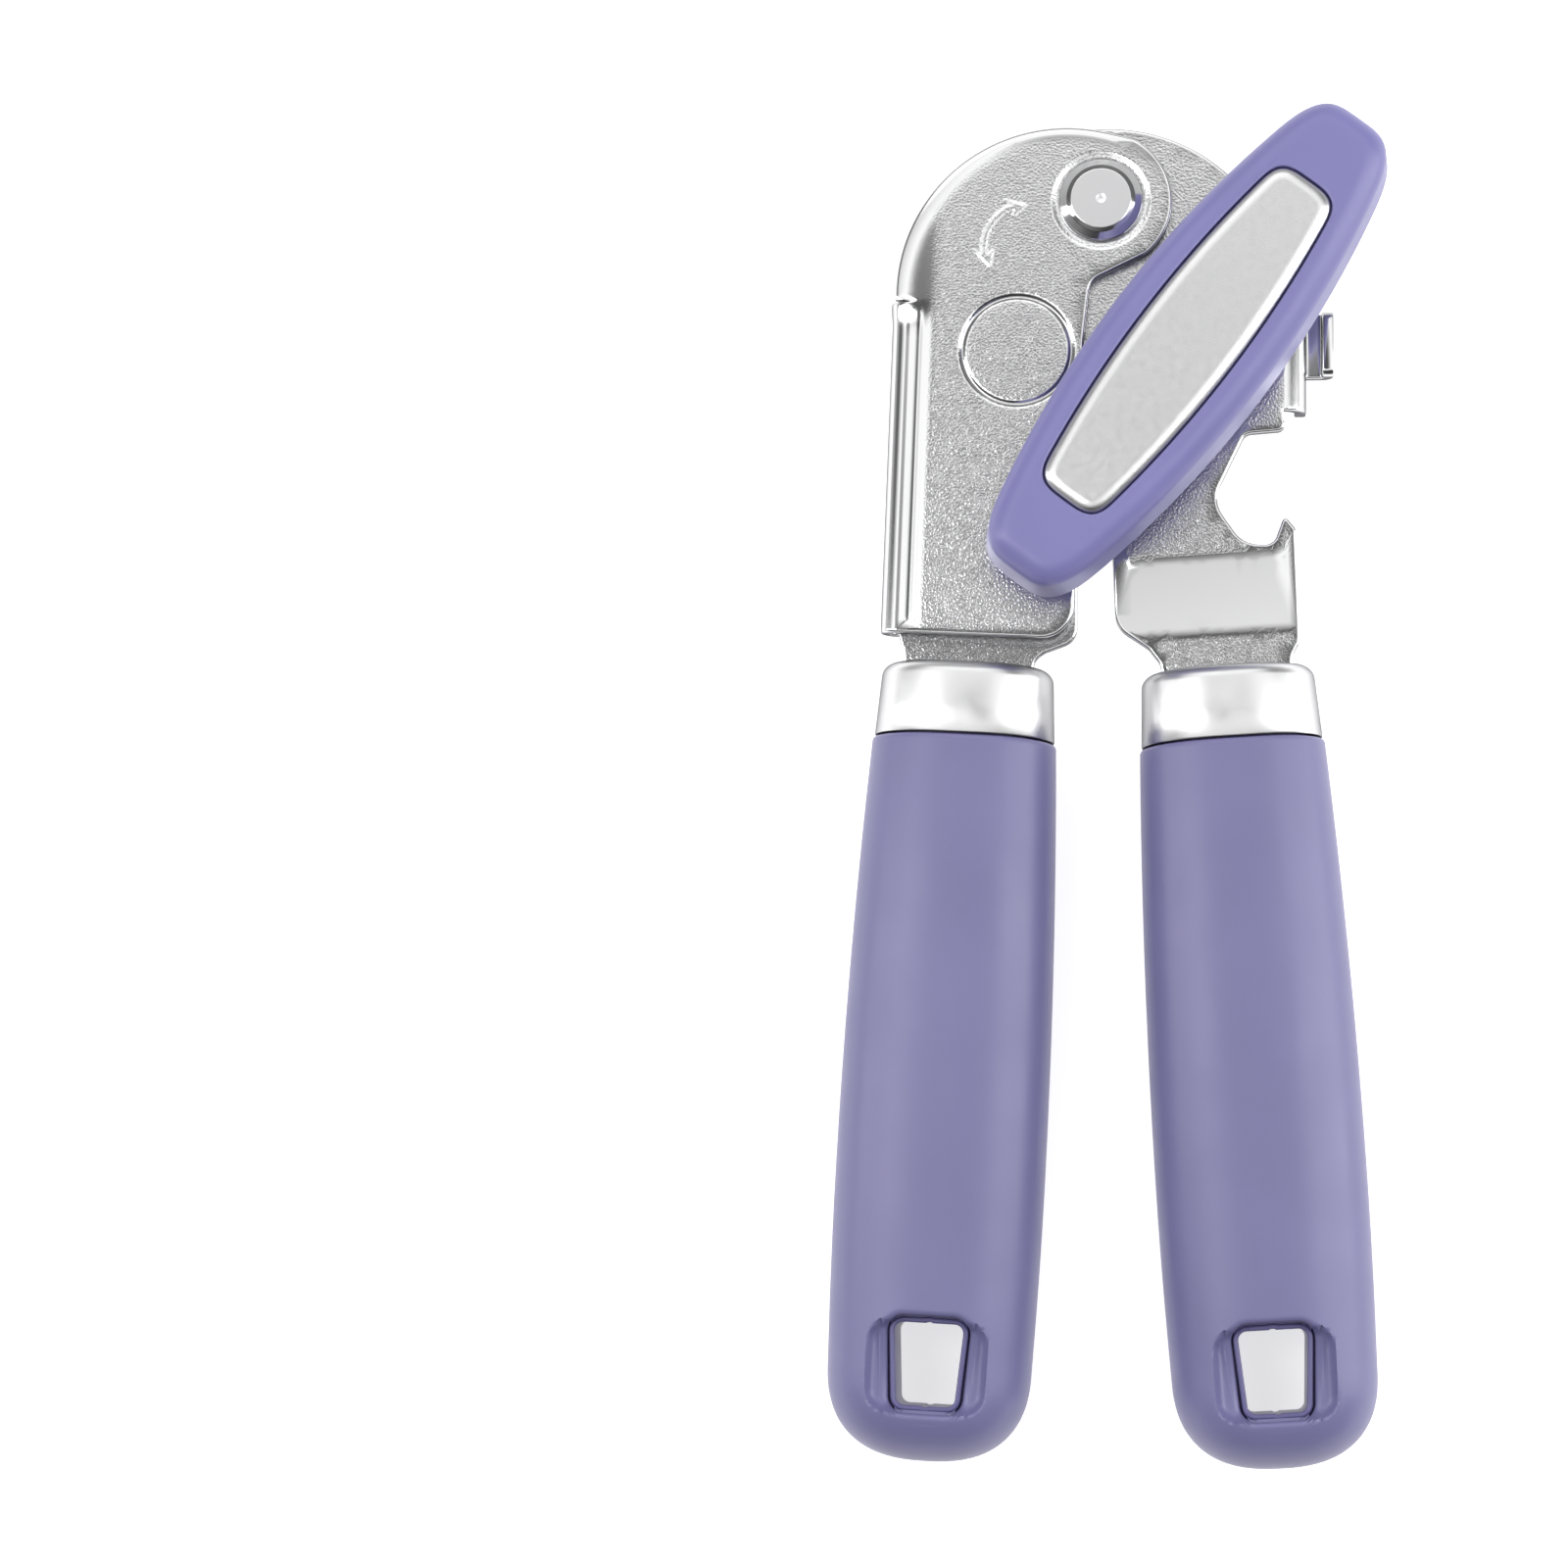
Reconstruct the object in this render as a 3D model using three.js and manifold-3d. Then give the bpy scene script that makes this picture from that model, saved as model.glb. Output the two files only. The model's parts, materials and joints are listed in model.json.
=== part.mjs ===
// Manual can opener with a turning knob, lying on its back: knob up (+Z), head towards +Y.
// Millimetres. The shapes are drawn round the pivot rivet at (0, 0), with z = 0 in the middle
// of the two tangs, and the finished group is moved so that its base centre is the origin.
import * as THREE from 'three';
import { mergeVertices } from 'three/addons/utils/BufferGeometryUtils.js';
import Module from 'manifold-3d';

const wasm = await Module();
wasm.setup();

// ---- driving dimensions ------------------------------------------------------------------
const GAP = 0.3;                     // clearance left between neighbouring pieces
const SHEET = 1.8;                   // thickness of both steel arms
const ROUND = 40;                    // facets round a visible circle
const SMALL_ROUND = 24;              // facets round a small or hidden one

const handle = { length: 109.7, halfWidth: 15.95, neckHalfWidth: 14.1, endHalfWidth: 15.45,
  halfDepth: 11, neckHalfDepth: 10.4, widest: 66, tipLength: 14.7, flatHalf: 4, wall: 2.2 };
const ferrule = { length: 11.2, halfWidth: 13.85, topHalfWidth: 13.15, halfDepth: 10.2,
  topHalfDepth: 9.7, edgeRadius: 2, wall: 0.8 };
const hangHole = { fromTip: 8.4, length: 12.3, topHalf: 5.25, bottomHalf: 4.35, corner: 1.3,
  lining: 0.8 };
const scoop = { aboveHole: 0.5, belowHole: 1.4, half: 9.5, corner: 3.5, depth: 3 };
const leftSide = { x: -20.9, y: -83.5, lean: -2.83 };
const rightSide = { x: 20.08, y: -84.1, lean: 3.68 };
const tang = { topHalf: 10.2, bottomHalf: 6.5, depth: 52, shoulder: 13 };
const tangPin = { radius: 1.5, at: 22, half: 6.5 };

const pivot = { shank: 4, headRadius: 6.7, faceRadius: 4.7, headHeight: 1.6, tailRadius: 5.8,
  tailHeight: 1.3, washerRadius: 7.6, washerThick: 0.8, dishRadius: 7.9, dishDepth: 0.25 };
const dome = { x: -5.6, y: -14.4, radius: 26.2 };          // front leaf of the left arm
const earRadius = 11;                                       // both leaves, round the rivet
const fold = { x: -32.5, topY: -15.5, bottomY: -67.3, lean: -1.77 };
const pressedCircle = { x: -12.95, y: -23.5, radius: 8.75, groove: 0.6, depth: 0.3 };
const rightDome = { x: 1, y: -15, radius: 27 };             // right arm, under the front leaf
const joggle = { start: -29.3, end: -16.7 };                // along the right handle, from the grip
const flange = { topY: -15, bottomY: -32.7, outerRadius: 3.6, depth: 6.5 };
const tab = { topY: -15.9, bottomY: -26.1, reach: 8, depth: 9.7, lip: 2.2 };

const drive = { x: 13.23, y: -25.33, shaft: 3, flat: 2.4, bushRadius: 4.6, bushFlange: 6.6,
  washerThick: 0.8, spacerRadius: 5.5, nutAcross: 8.4, nutHeight: 3 };
const wheelGap = 17;                 // distance between the feed wheel's and the cutter's axes
const gear = { teeth: 18, thick: 2, addendum: 0.82, dedendum: 1.15, backlash: 0.35 };
const feed = { radius: 7, notch: 0.55, teeth: 20, thick: 3 };
const cutter = { bite: 1, thick: 1.2, bevel: 2.6, stud: 2.5, spacerRadius: 5.2,
  washerThick: 0.5, headRadius: 4.4 };

const knob = { half: 43.8, halfWidth: 13.3, waist: 0.0031, endStart: 33, bottom: 8, height: 11.5,
  topRadius: 3.6, bottomRadius: 1.8, draft: 0.5, angle: 53, shell: 3.2, web: 1.8 };
const inlay = { half: 30.4, halfWidth: 7.8, waist: 0.0028, endStart: 25.5, thick: 1.9, proud: 0.5 };
const knobScrew = { radius: 1.4, headRadius: 3.6, headHeight: 1.9, length: 7.5 };

// ---- levels that follow from them ---------------------------------------------------------
const rearFront = SHEET / 2;                     // front face of the rear leaf and both tangs
const rearBack = -SHEET / 2;
const armBack = rearFront + GAP;                 // right arm, between the two leaves
const armFront = armBack + SHEET;
const leafBack = armFront + GAP;                 // front leaf of the left arm
const leafFront = leafBack + SHEET;
const gearFront = rearBack - GAP;
const gearBack = gearFront - gear.thick;
const feedFront = gearBack - GAP;
const feedBack = feedFront - feed.thick;
const cutterFront = feedBack - GAP;
const cutterBack = cutterFront - cutter.thick;
const restLevel = -handle.halfDepth;             // the opener lies on this level
const tipStart = handle.length - handle.tipLength;
const holeEnd = handle.length - hangHole.fromTip;
const holeStart = holeEnd - hangHole.length;
const scoopFloor = handle.halfDepth - scoop.depth;
const cutterRadius = wheelGap - feed.radius + cutter.bite;   // overlaps the feed wheel by the bite
const bore = (radius) => radius + GAP;
const degrees = (angle) => angle * Math.PI / 180;

// The cutter's axis is as far from the rivet as the drive shaft's, so the gears stay in phase.
const driveReach = Math.hypot(drive.x, drive.y);
const cutterAngle = Math.atan2(drive.y, drive.x) - 2 * Math.asin(wheelGap / 2 / driveReach);
const cutterAxis = { x: driveReach * Math.cos(cutterAngle), y: driveReach * Math.sin(cutterAngle) };
const meshAngle = Math.atan2(cutterAxis.y - drive.y, cutterAxis.x - drive.x);

// ---- solids ------------------------------------------------------------------------------

// One closed body: shared corners merged, slivers dropped and every face turned outwards.
function closed(source) {
  const bare = source.clone();
  bare.deleteAttribute('normal');
  bare.deleteAttribute('uv');
  const merged = mergeVertices(bare, 1e-4);
  const index = merged.index.array;
  const at = merged.attributes.position;
  const kept = [];
  let volume = 0;
  const [a, b, c] = [new THREE.Vector3(), new THREE.Vector3(), new THREE.Vector3()];
  for (let i = 0; i < index.length; i += 3) {
    const [p, q, r] = [index[i], index[i + 1], index[i + 2]];
    if (p === q || q === r || r === p) continue;
    kept.push(p, q, r);
    a.fromBufferAttribute(at, p);
    b.fromBufferAttribute(at, q);
    c.fromBufferAttribute(at, r);
    volume += a.dot(b.cross(c));
  }
  if (volume < 0) kept.reverse();
  merged.setIndex(kept);
  return merged;
}

function toSolid(geometry) {
  const ready = closed(geometry);
  return new wasm.Manifold(new wasm.Mesh({
    numProp: 3,
    vertProperties: new Float32Array(ready.attributes.position.array),
    triVerts: new Uint32Array(ready.index.array),
  }));
}

function toGeometry(solid) {
  const mesh = solid.getMesh();
  const geometry = new THREE.BufferGeometry();
  geometry.setAttribute('position', new THREE.BufferAttribute(new Float32Array(mesh.vertProperties), 3));
  geometry.setIndex(new THREE.BufferAttribute(new Uint32Array(mesh.triVerts), 1));
  return geometry;
}

const join = (...parts) => toGeometry(parts.map(toSolid).reduce((sum, part) => sum.add(part)));
const cut = (body, ...tools) => toGeometry(tools.map(toSolid).reduce((rest, tool) => rest.subtract(tool),
  toSolid(body)));
const common = (one, other) => toGeometry(toSolid(one).intersect(toSolid(other)));

function prism(points, low, high) {
  const shape = new THREE.Shape(points.map(([x, y]) => new THREE.Vector2(x, y)));
  const geometry = new THREE.ExtrudeGeometry(shape, { depth: high - low, bevelEnabled: false });
  return closed(geometry.translate(0, 0, low));
}

const disc = (x, y, radius, low, high, facets = SMALL_ROUND) => prism(arc(x, y, radius, 0,
  360 - 360 / facets, facets - 1), low, high);

// A body turned round the Z axis from [radius, z] points that close on themselves or on the axis.
function turned(profile, facets = SMALL_ROUND) {
  const points = profile.map(([radius, z]) => new THREE.Vector2(radius, z));
  return closed(new THREE.LatheGeometry(points, facets).rotateX(Math.PI / 2));
}

const ring = (inner, outer, low, high, facets) => turned([[inner, low], [outer, low], [outer, high],
  [inner, high], [inner, low]], facets);

// Rings of the same number of points, skinned together and closed at both ends.
function loft(rings) {
  const count = rings[0].length;
  const positions = rings.flat(2);
  const index = [];
  for (let r = 0; r + 1 < rings.length; r += 1) {
    for (let i = 0; i < count; i += 1) {
      const next = (i + 1) % count;
      const [a, b] = [r * count + i, r * count + next];
      index.push(a, b, b + count, a, b + count, a + count);
    }
  }
  for (const end of [0, rings.length - 1]) {
    const start = end * count;
    for (let i = 1; i + 1 < count; i += 1) {
      if (end === 0) index.push(start, start + i + 1, start + i);
      else index.push(start, start + i, start + i + 1);
    }
  }
  const geometry = new THREE.BufferGeometry();
  geometry.setAttribute('position', new THREE.Float32BufferAttribute(positions, 3));
  geometry.setIndex(index);
  return closed(geometry);
}

// ---- outlines ----------------------------------------------------------------------------

function arc(x, y, radius, from, to, steps) {
  return Array.from({ length: steps + 1 }, (_, i) => {
    const angle = degrees(from + (to - from) * i / steps);
    return [x + radius * Math.cos(angle), y + radius * Math.sin(angle)];
  });
}

// A polygon whose corners [x, y, radius] are rounded; a corner without a radius stays sharp.
function rounded(corners, steps = 3) {
  const points = [];
  corners.forEach(([x, y, radius], i) => {
    if (!radius) {
      points.push([x, y]);
      return;
    }
    const corner = new THREE.Vector2(x, y);
    const before = corners[(i + corners.length - 1) % corners.length];
    const after = corners[(i + 1) % corners.length];
    const back = new THREE.Vector2(before[0] - x, before[1] - y).normalize();
    const ahead = new THREE.Vector2(after[0] - x, after[1] - y).normalize();
    const half = Math.acos(THREE.MathUtils.clamp(back.dot(ahead), -1, 1)) / 2;
    const middle = back.clone().add(ahead).normalize();
    const centre = corner.clone().addScaledVector(middle, radius / Math.sin(half));
    const start = corner.clone().addScaledVector(back, radius / Math.tan(half)).sub(centre);
    const end = corner.clone().addScaledVector(ahead, radius / Math.tan(half)).sub(centre);
    const turn = Math.atan2(start.cross(end), start.dot(end));
    for (let step = 0; step <= steps; step += 1) {
      const point = start.clone().rotateAround(new THREE.Vector2(), turn * step / steps).add(centre);
      points.push([point.x, point.y]);
    }
  });
  return points;
}

// ---- handles: x across, y along the handle with the tip at -y, z through it -----------------

const superellipse = (t, power) => Math.max(0, 1 - t ** power) ** (1 / power);

function gripHalfWidth(s) {
  if (s < handle.widest) {
    const rise = (handle.widest - s) / handle.widest;
    return handle.halfWidth - (handle.halfWidth - handle.neckHalfWidth) * rise * rise;
  }
  const fall = (Math.min(s, tipStart) - handle.widest) / (tipStart - handle.widest);
  const side = handle.halfWidth - (handle.halfWidth - handle.endHalfWidth) * fall * fall;
  const tip = Math.max(0, s - tipStart) / (handle.length - tipStart);
  return side * superellipse(tip, 2.5);
}

function gripHalfDepth(s) {
  const neck = handle.neckHalfDepth + (handle.halfDepth - handle.neckHalfDepth) * Math.min(1, s / 20);
  const start = handle.length - handle.halfDepth;
  const tip = Math.max(0, s - start) / (handle.length - start);
  return neck * superellipse(tip, 2.2);
}

// Oval section with a narrow flat on its front and back.
function section(s, halfWidth, halfDepth, steps = 4) {
  const flat = handle.flatHalf * halfWidth / handle.halfWidth;
  const points = [];
  for (const [sideX, sideZ, forward] of [[1, 1, true], [1, -1, false], [-1, -1, true], [-1, 1, false]]) {
    for (let i = 0; i <= steps; i += 1) {
      const angle = Math.PI / 2 * (forward ? 1 - i / steps : i / steps);
      if (!forward && i === 0) continue;
      const x = sideX * (flat + (halfWidth - flat) * Math.cos(angle));
      points.push([x, -s, sideZ * halfDepth * Math.sin(angle)]);
    }
  }
  return points;
}

// Stations along the grip, closer together where the tip rounds off.
function gripStations(from, inset) {
  const body = [8, 20, 34, 50, handle.widest, 82, tipStart].filter((s) => s > from + 1);
  const end = handle.length - inset;
  const tip = [0.3, 0.52, 0.7, 0.83, 0.92, 0.98].map((t) => tipStart + t * (end - tipStart));
  return [from, ...body, ...tip, end - 0.02];
}

function gripBody(from, inset, depthAt = () => Infinity) {
  return loft(gripStations(from, inset).map((s) => {
    const outer = Math.min(s * handle.length / (handle.length - inset), handle.length - 0.02);
    const reach = s > tipStart ? outer : s;
    const halfWidth = Math.max(0.4, gripHalfWidth(reach) - inset * gripHalfWidth(reach) / handle.halfWidth);
    const halfDepth = Math.max(0.4, gripHalfDepth(reach) - inset * gripHalfDepth(reach) / handle.halfDepth);
    return section(s, halfWidth, Math.min(halfDepth, depthAt(s)));
  }));
}

// The core is thinner round the hanging hole, where the grip is thick enough for its scoops.
const coreThinFrom = holeStart - 8;
const coreThinHalf = scoopFloor - 2.5;
const thinned = (extra) => (s) => (s > coreThinFrom ? coreThinHalf + extra : Infinity);

function holeOutline(extra) {
  const [top, bottom] = [-holeStart + extra, -holeEnd - extra];
  return rounded([[-hangHole.topHalf - extra, top, hangHole.corner],
    [-hangHole.bottomHalf - extra, bottom, hangHole.corner],
    [hangHole.bottomHalf + extra, bottom, hangHole.corner],
    [hangHole.topHalf + extra, top, hangHole.corner]]);
}

function scoopTool(side) {
  const [top, bottom] = [-holeStart + scoop.aboveHole, -holeEnd - scoop.belowHole];
  const outline = rounded([[-scoop.half, top, scoop.corner], [-scoop.half, bottom, scoop.corner],
    [scoop.half, bottom, scoop.corner], [scoop.half, top, scoop.corner]]);
  const [low, high] = [scoopFloor, handle.halfDepth + 1];
  return side > 0 ? prism(outline, low, high) : prism(outline, -high, -low);
}

function grip() {
  const through = handle.halfDepth + 1;
  const cavity = gripBody(-1, handle.wall, thinned(GAP));
  return cut(gripBody(GAP, 0), cavity, prism(holeOutline(hangHole.lining + GAP), -through, through),
    scoopTool(1), scoopTool(-1));
}

const tangOutline = (extra) => [[-tang.topHalf - extra, 0], [-tang.topHalf - extra + 1.7, -tang.shoulder],
  [-tang.bottomHalf - extra, -tang.shoulder - tang.depth - extra],
  [tang.bottomHalf + extra, -tang.shoulder - tang.depth - extra],
  [tang.topHalf + extra - 1.7, -tang.shoulder], [tang.topHalf + extra, 0]].map(
  ([x, y]) => [x, y + tang.shoulder]);

const ferruleHalf = (s) => [ferrule.halfWidth + (ferrule.halfWidth - ferrule.topHalfWidth) * s / ferrule.length,
  ferrule.halfDepth + (ferrule.halfDepth - ferrule.topHalfDepth) * s / ferrule.length];

function ferruleBody(from, to, inset) {
  const radius = ferrule.edgeRadius - inset;
  const rings = [0, 22, 45, 68, 90].map((angle) => {
    const s = from + radius * (1 - Math.sin(degrees(angle)));
    const [width, depth] = ferruleHalf(s);
    const drawnIn = inset + radius * (1 - Math.cos(degrees(angle)));
    return section(s, width - drawnIn, depth - drawnIn);
  }).reverse();
  const [width, depth] = ferruleHalf(to);
  return loft([...rings, section(to, width - inset, depth - inset)]);
}

const tangSlot = (from) => prism(tangOutline(GAP).map(([x, y]) => [x, y === tang.shoulder ? from : y]),
  -SHEET / 2 - GAP, SHEET / 2 + GAP);

function ferruleCap() {
  const hollow = ferruleBody(-ferrule.length + ferrule.wall, 1, ferrule.wall);
  return cut(ferruleBody(-ferrule.length, 0, 0), hollow, tangSlot(ferrule.length + 3));
}

function handleCore() {
  const through = handle.halfDepth;
  const neck = ferruleBody(-ferrule.length + ferrule.wall + GAP, 0, ferrule.wall + GAP);
  const body = gripBody(-0.5, handle.wall + GAP, thinned(0));
  const lining = prism(holeOutline(hangHole.lining), -scoopFloor + GAP, scoopFloor - GAP);
  const pinHole = disc(0, -tangPin.at, bore(tangPin.radius), -tangPin.half - GAP, tangPin.half + GAP);
  return cut(join(neck, body, lining), prism(holeOutline(0), -through, through),
    tangSlot(ferrule.length + 3), pinHole);
}

const pinBody = () => disc(0, -tangPin.at, tangPin.radius, -tangPin.half, tangPin.half);

// The tang's hole for the pin and the tang itself, drawn in the handle's own frame.
const tangStrip = () => cut(prism(tangOutline(0), rearBack, rearFront),
  disc(0, -tangPin.at, bore(tangPin.radius), rearBack - 1, rearFront + 1));

const sideMatrix = (side) => new THREE.Matrix4().makeRotationZ(degrees(side.lean))
  .setPosition(side.x, side.y, 0);
const fromHandle = (side, x, s) => {
  const point = new THREE.Vector3(x, -s, 0).applyMatrix4(sideMatrix(side));
  return [point.x, point.y];
};

// ---- left arm: one steel sheet folded back on itself along its left edge --------------------

const foldRadius = (leafFront - rearBack) / 2;
const foldLength = fold.topY - fold.bottomY;
// A point of the fold line, `inward` of the outer edge and `down` from its upper end.
function foldPoint(inward, down) {
  const lean = degrees(fold.lean);
  return [fold.x + inward * Math.cos(lean) + down * Math.sin(lean),
    fold.topY + inward * Math.sin(lean) - down * Math.cos(lean)];
}

function foldSpine() {
  const middle = (leafFront + rearBack) / 2;
  const outer = arc(foldRadius, middle, foldRadius, 270, 90, 10);
  const inner = arc(foldRadius, middle, foldRadius - SHEET, 90, 270, 8);
  const overlap = 0.5;
  const profile = [...outer, [foldRadius + overlap, leafFront], [foldRadius + overlap, leafBack],
    ...inner, [foldRadius + overlap, rearFront], [foldRadius + overlap, rearBack]];
  const spine = prism(profile, 0, foldLength).rotateX(Math.PI / 2);
  spine.rotateZ(degrees(fold.lean)).translate(fold.x, fold.topY, 0);
  return spine;
}

function frontLeaf() {
  const outline = rounded([
    ...arc(0, 0, earRadius, -50, 62, 12),
    ...arc(dome.x, dome.y, dome.radius, 76, 182, 24),
    foldPoint(foldRadius, 0),
    foldPoint(foldRadius, foldLength),
    [-4.2, -68.6, 5],
    [-2.6, -22],
    [-1.6, -12.6, 2.8],
  ]);
  const grooveOuter = disc(pressedCircle.x, pressedCircle.y, pressedCircle.radius,
    leafFront - pressedCircle.depth, leafFront + 1, ROUND);
  const grooveInner = disc(pressedCircle.x, pressedCircle.y, pressedCircle.radius - pressedCircle.groove,
    leafFront - 1, leafFront + 2, ROUND);
  const dish = disc(0, 0, pivot.dishRadius, leafFront - pivot.dishDepth, leafFront + 1, ROUND);
  return cut(prism(outline, leafBack, leafFront), cut(grooveOuter, grooveInner), dish);
}

function rearLeaf() {
  const half = wheelGap / 2 - drive.shaft - 1;              // clear of the drive shaft when closed
  const outline = rounded([
    ...arc(0, 0, earRadius - 0.5, -75, 150, 16),
    foldPoint(foldRadius, 0.2),
    foldPoint(foldRadius, foldLength),
    fromHandle(leftSide, -tang.topHalf - 0.7, -15).concat(1),
    fromHandle(leftSide, -tang.topHalf, -tang.shoulder),
    fromHandle(leftSide, tang.topHalf, -tang.shoulder),
    [-8.5, -70, 1.5],
    [-3.6, -68.2, 3],
    [-3.6, -44, 4],
    [cutterAxis.x + half, -38, 3],
    [cutterAxis.x + half, -20, 3],
  ]);
  return prism(outline, rearBack, rearFront);
}

function leftArm() {
  const holes = [disc(0, 0, bore(pivot.shank), rearBack - 1, leafFront + 1),
    disc(cutterAxis.x, cutterAxis.y, bore(cutter.stud), rearBack - 1, rearFront + 1)];
  const strip = tangStrip().applyMatrix4(sideMatrix(leftSide));
  return cut(join(frontLeaf(), foldSpine(), rearLeaf(), strip), ...holes);
}

// ---- right arm: between the two leaves, stepped back to the same tang level -----------------

function bottleNotch() {
  return [[28.4, -35.9, 1.2], [22.2, -36.4, 1.6], [17.2, -46.8, 4.6], [21.8, -53.5, 4.6],
    [26.4, -53.7, 1.8], [28.1, -49, 0.6], [29.9, -51.2, 1.4]];
}

function rightOutline() {
  const edge = rightDome.x + rightDome.radius;
  return rounded([
    ...arc(rightDome.x, rightDome.y, rightDome.radius, 0, 99, 24),
    ...arc(0, 0, 12.2, 112, 190, 10),
    [-9.5, -36, 6],
    [1.5, -50, 5],
    fromHandle(rightSide, -16.6, -19).concat(4),
    fromHandle(rightSide, -tang.topHalf - 1.6, -15.4).concat(2),
    fromHandle(rightSide, -tang.topHalf, -tang.shoulder),
    fromHandle(rightSide, tang.topHalf, -tang.shoulder),
    fromHandle(rightSide, 11.4, -15).concat(1.8),
    [30.5, -66],
    ...bottleNotch().reverse(),
    [edge, flange.bottomY],
  ]);
}

// Side view of the stepped sheet, drawn along the right handle and then laid down with it.
function steppedSheet() {
  const [head, foot] = [handle.length, 40];
  const profile = [[-head, armBack], [joggle.start, armBack], [joggle.end, rearBack], [foot, rearBack],
    [foot, rearFront], [joggle.end, rearFront], [joggle.start, armFront], [-head, armFront]];
  const slab = prism(profile.map(([s, z]) => [z, -s]), -80, 80).rotateY(-Math.PI / 2);
  return slab.applyMatrix4(sideMatrix(rightSide));
}

// The right edge turns rearwards, and its tab turns outwards again and ends in a lip.
function edgeFlange(depth, outward) {
  const x = rightDome.x + rightDome.radius;
  const z = armFront - flange.outerRadius;
  const inner = flange.outerRadius - SHEET;
  const low = armFront - depth;
  const outer = arc(x, z, flange.outerRadius, 90, 0, 6);
  const inside = arc(x, z, inner, 0, 90, 5);
  const end = outward ? [[x + flange.outerRadius, low + SHEET + 0.6], [x + flange.outerRadius + 0.6, low + SHEET],
    [x + tab.reach - SHEET, low + SHEET], [x + tab.reach - SHEET, low + SHEET + tab.lip],
    [x + tab.reach, low + SHEET + tab.lip], [x + tab.reach, low + 0.8], [x + tab.reach - 0.8, low],
    [x + inner + 1.2, low], [x + inner, low + 1.2]] : [[x + flange.outerRadius, low], [x + inner, low]];
  return [[x - 1, armFront], ...outer, ...end, ...inside, [x - 1, armBack]];
}

function rightArm() {
  const sheet = common(prism(rightOutline(), -10, 10), steppedSheet());
  const along = (profile, top, bottom) => prism(profile, 0, top - bottom).rotateX(Math.PI / 2)
    .translate(0, top, 0);
  const strip = tangStrip().applyMatrix4(sideMatrix(rightSide));
  const body = join(sheet, along(edgeFlange(flange.depth, false), flange.topY, flange.bottomY),
    along(edgeFlange(tab.depth, true), tab.topY, tab.bottomY), strip);
  return cut(body, disc(0, 0, bore(pivot.shank), -2, 10),
    disc(drive.x, drive.y, bore(drive.bushRadius), -2, 10));
}

// ---- pivot -------------------------------------------------------------------------------

function pivotRivet() {
  const seat = leafFront - pivot.dishDepth + GAP;
  const top = seat + pivot.headHeight;
  const tail = rearBack - GAP - pivot.washerThick - GAP;
  return turned([[0, tail - pivot.tailHeight], [pivot.tailRadius - 1, tail - pivot.tailHeight],
    [pivot.tailRadius, tail - 0.4], [pivot.tailRadius, tail], [pivot.shank, tail], [pivot.shank, seat],
    [pivot.headRadius, seat], [pivot.headRadius, seat + 0.6], [pivot.faceRadius + 0.7, top - 0.2],
    [pivot.faceRadius, top], [0, top]], ROUND);
}

const pivotWasher = () => ring(bore(pivot.shank), pivot.washerRadius, rearBack - GAP - pivot.washerThick,
  rearBack - GAP, ROUND);

// ---- drive: knob, shaft, gear and feed wheel, round the shaft's own axis ---------------------

const bushFront = armFront + GAP + 1;
const washerFront = bushFront + GAP + drive.washerThick;
const shaftTop = knob.bottom + 5;

function driveShaft() {
  const end = feedBack - GAP - drive.nutHeight;
  const round = turned([[0, end], [drive.shaft, end], [drive.shaft, knob.bottom], [0, knob.bottom]]);
  const flats = common(disc(0, 0, drive.shaft, knob.bottom - 1, shaftTop),
    prism([[-5, -drive.flat], [5, -drive.flat], [5, drive.flat], [-5, drive.flat]], 0, shaftTop + 1));
  const tapped = disc(0, 0, bore(knobScrew.radius), shaftTop - knobScrew.length, shaftTop + 1);
  return cut(join(round, flats), tapped);
}

const shaftBushing = () => turned([[bore(drive.shaft), rearFront], [drive.bushRadius, rearFront],
  [drive.bushRadius, armFront + GAP], [drive.bushFlange, armFront + GAP], [drive.bushFlange, bushFront],
  [bore(drive.shaft), bushFront], [bore(drive.shaft), rearFront]]);
const thrustWasher = () => ring(bore(drive.shaft), drive.bushFlange, bushFront + GAP, washerFront);
const driveSpacer = () => ring(bore(drive.shaft), drive.spacerRadius, rearBack, rearFront - GAP);

// A spur gear with a tooth on +X, or a gap there when `half` is 0.5.
function spurGear(shaft, half) {
  const pitchRadius = wheelGap / 2;
  const pitch = 360 / gear.teeth;
  const toothAngle = (360 / Math.PI / 2) * ((Math.PI * pitchRadius / gear.teeth - gear.backlash) / pitchRadius);
  const [tip, root] = [pitchRadius + gear.addendum, pitchRadius - gear.dedendum];
  const outline = [];
  for (let tooth = 0; tooth < gear.teeth; tooth += 1) {
    const middle = (tooth + half) * pitch;
    for (const [radius, share] of [[root, -0.72], [tip, -0.24], [tip, 0.24], [root, 0.72]]) {
      outline.push(arc(0, 0, radius, middle + share * toothAngle, 0, 1)[0]);
    }
  }
  return cut(prism(outline, gearBack, gearFront), disc(0, 0, bore(shaft), gearBack - 1, gearFront + 1));
}

function feedWheel() {
  const outline = [];
  for (let tooth = 0; tooth < feed.teeth; tooth += 1) {
    const middle = tooth * 360 / feed.teeth;
    outline.push(...arc(0, 0, feed.radius, middle - 4, middle + 4, 1));
    outline.push(...arc(0, 0, feed.radius - feed.notch, middle + 8, middle + 10, 1));
  }
  return cut(prism(outline, feedBack, feedFront), disc(0, 0, bore(drive.shaft), feedBack - 1, feedFront + 1));
}

function feedNut() {
  const hex = arc(0, 0, drive.nutAcross / Math.sqrt(3), 0, 300, 5);
  const [low, high] = [feedBack - GAP - drive.nutHeight + GAP, feedBack - GAP];
  return cut(prism(hex, low, high), disc(0, 0, bore(drive.shaft), low - 1, high + 1));
}

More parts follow.
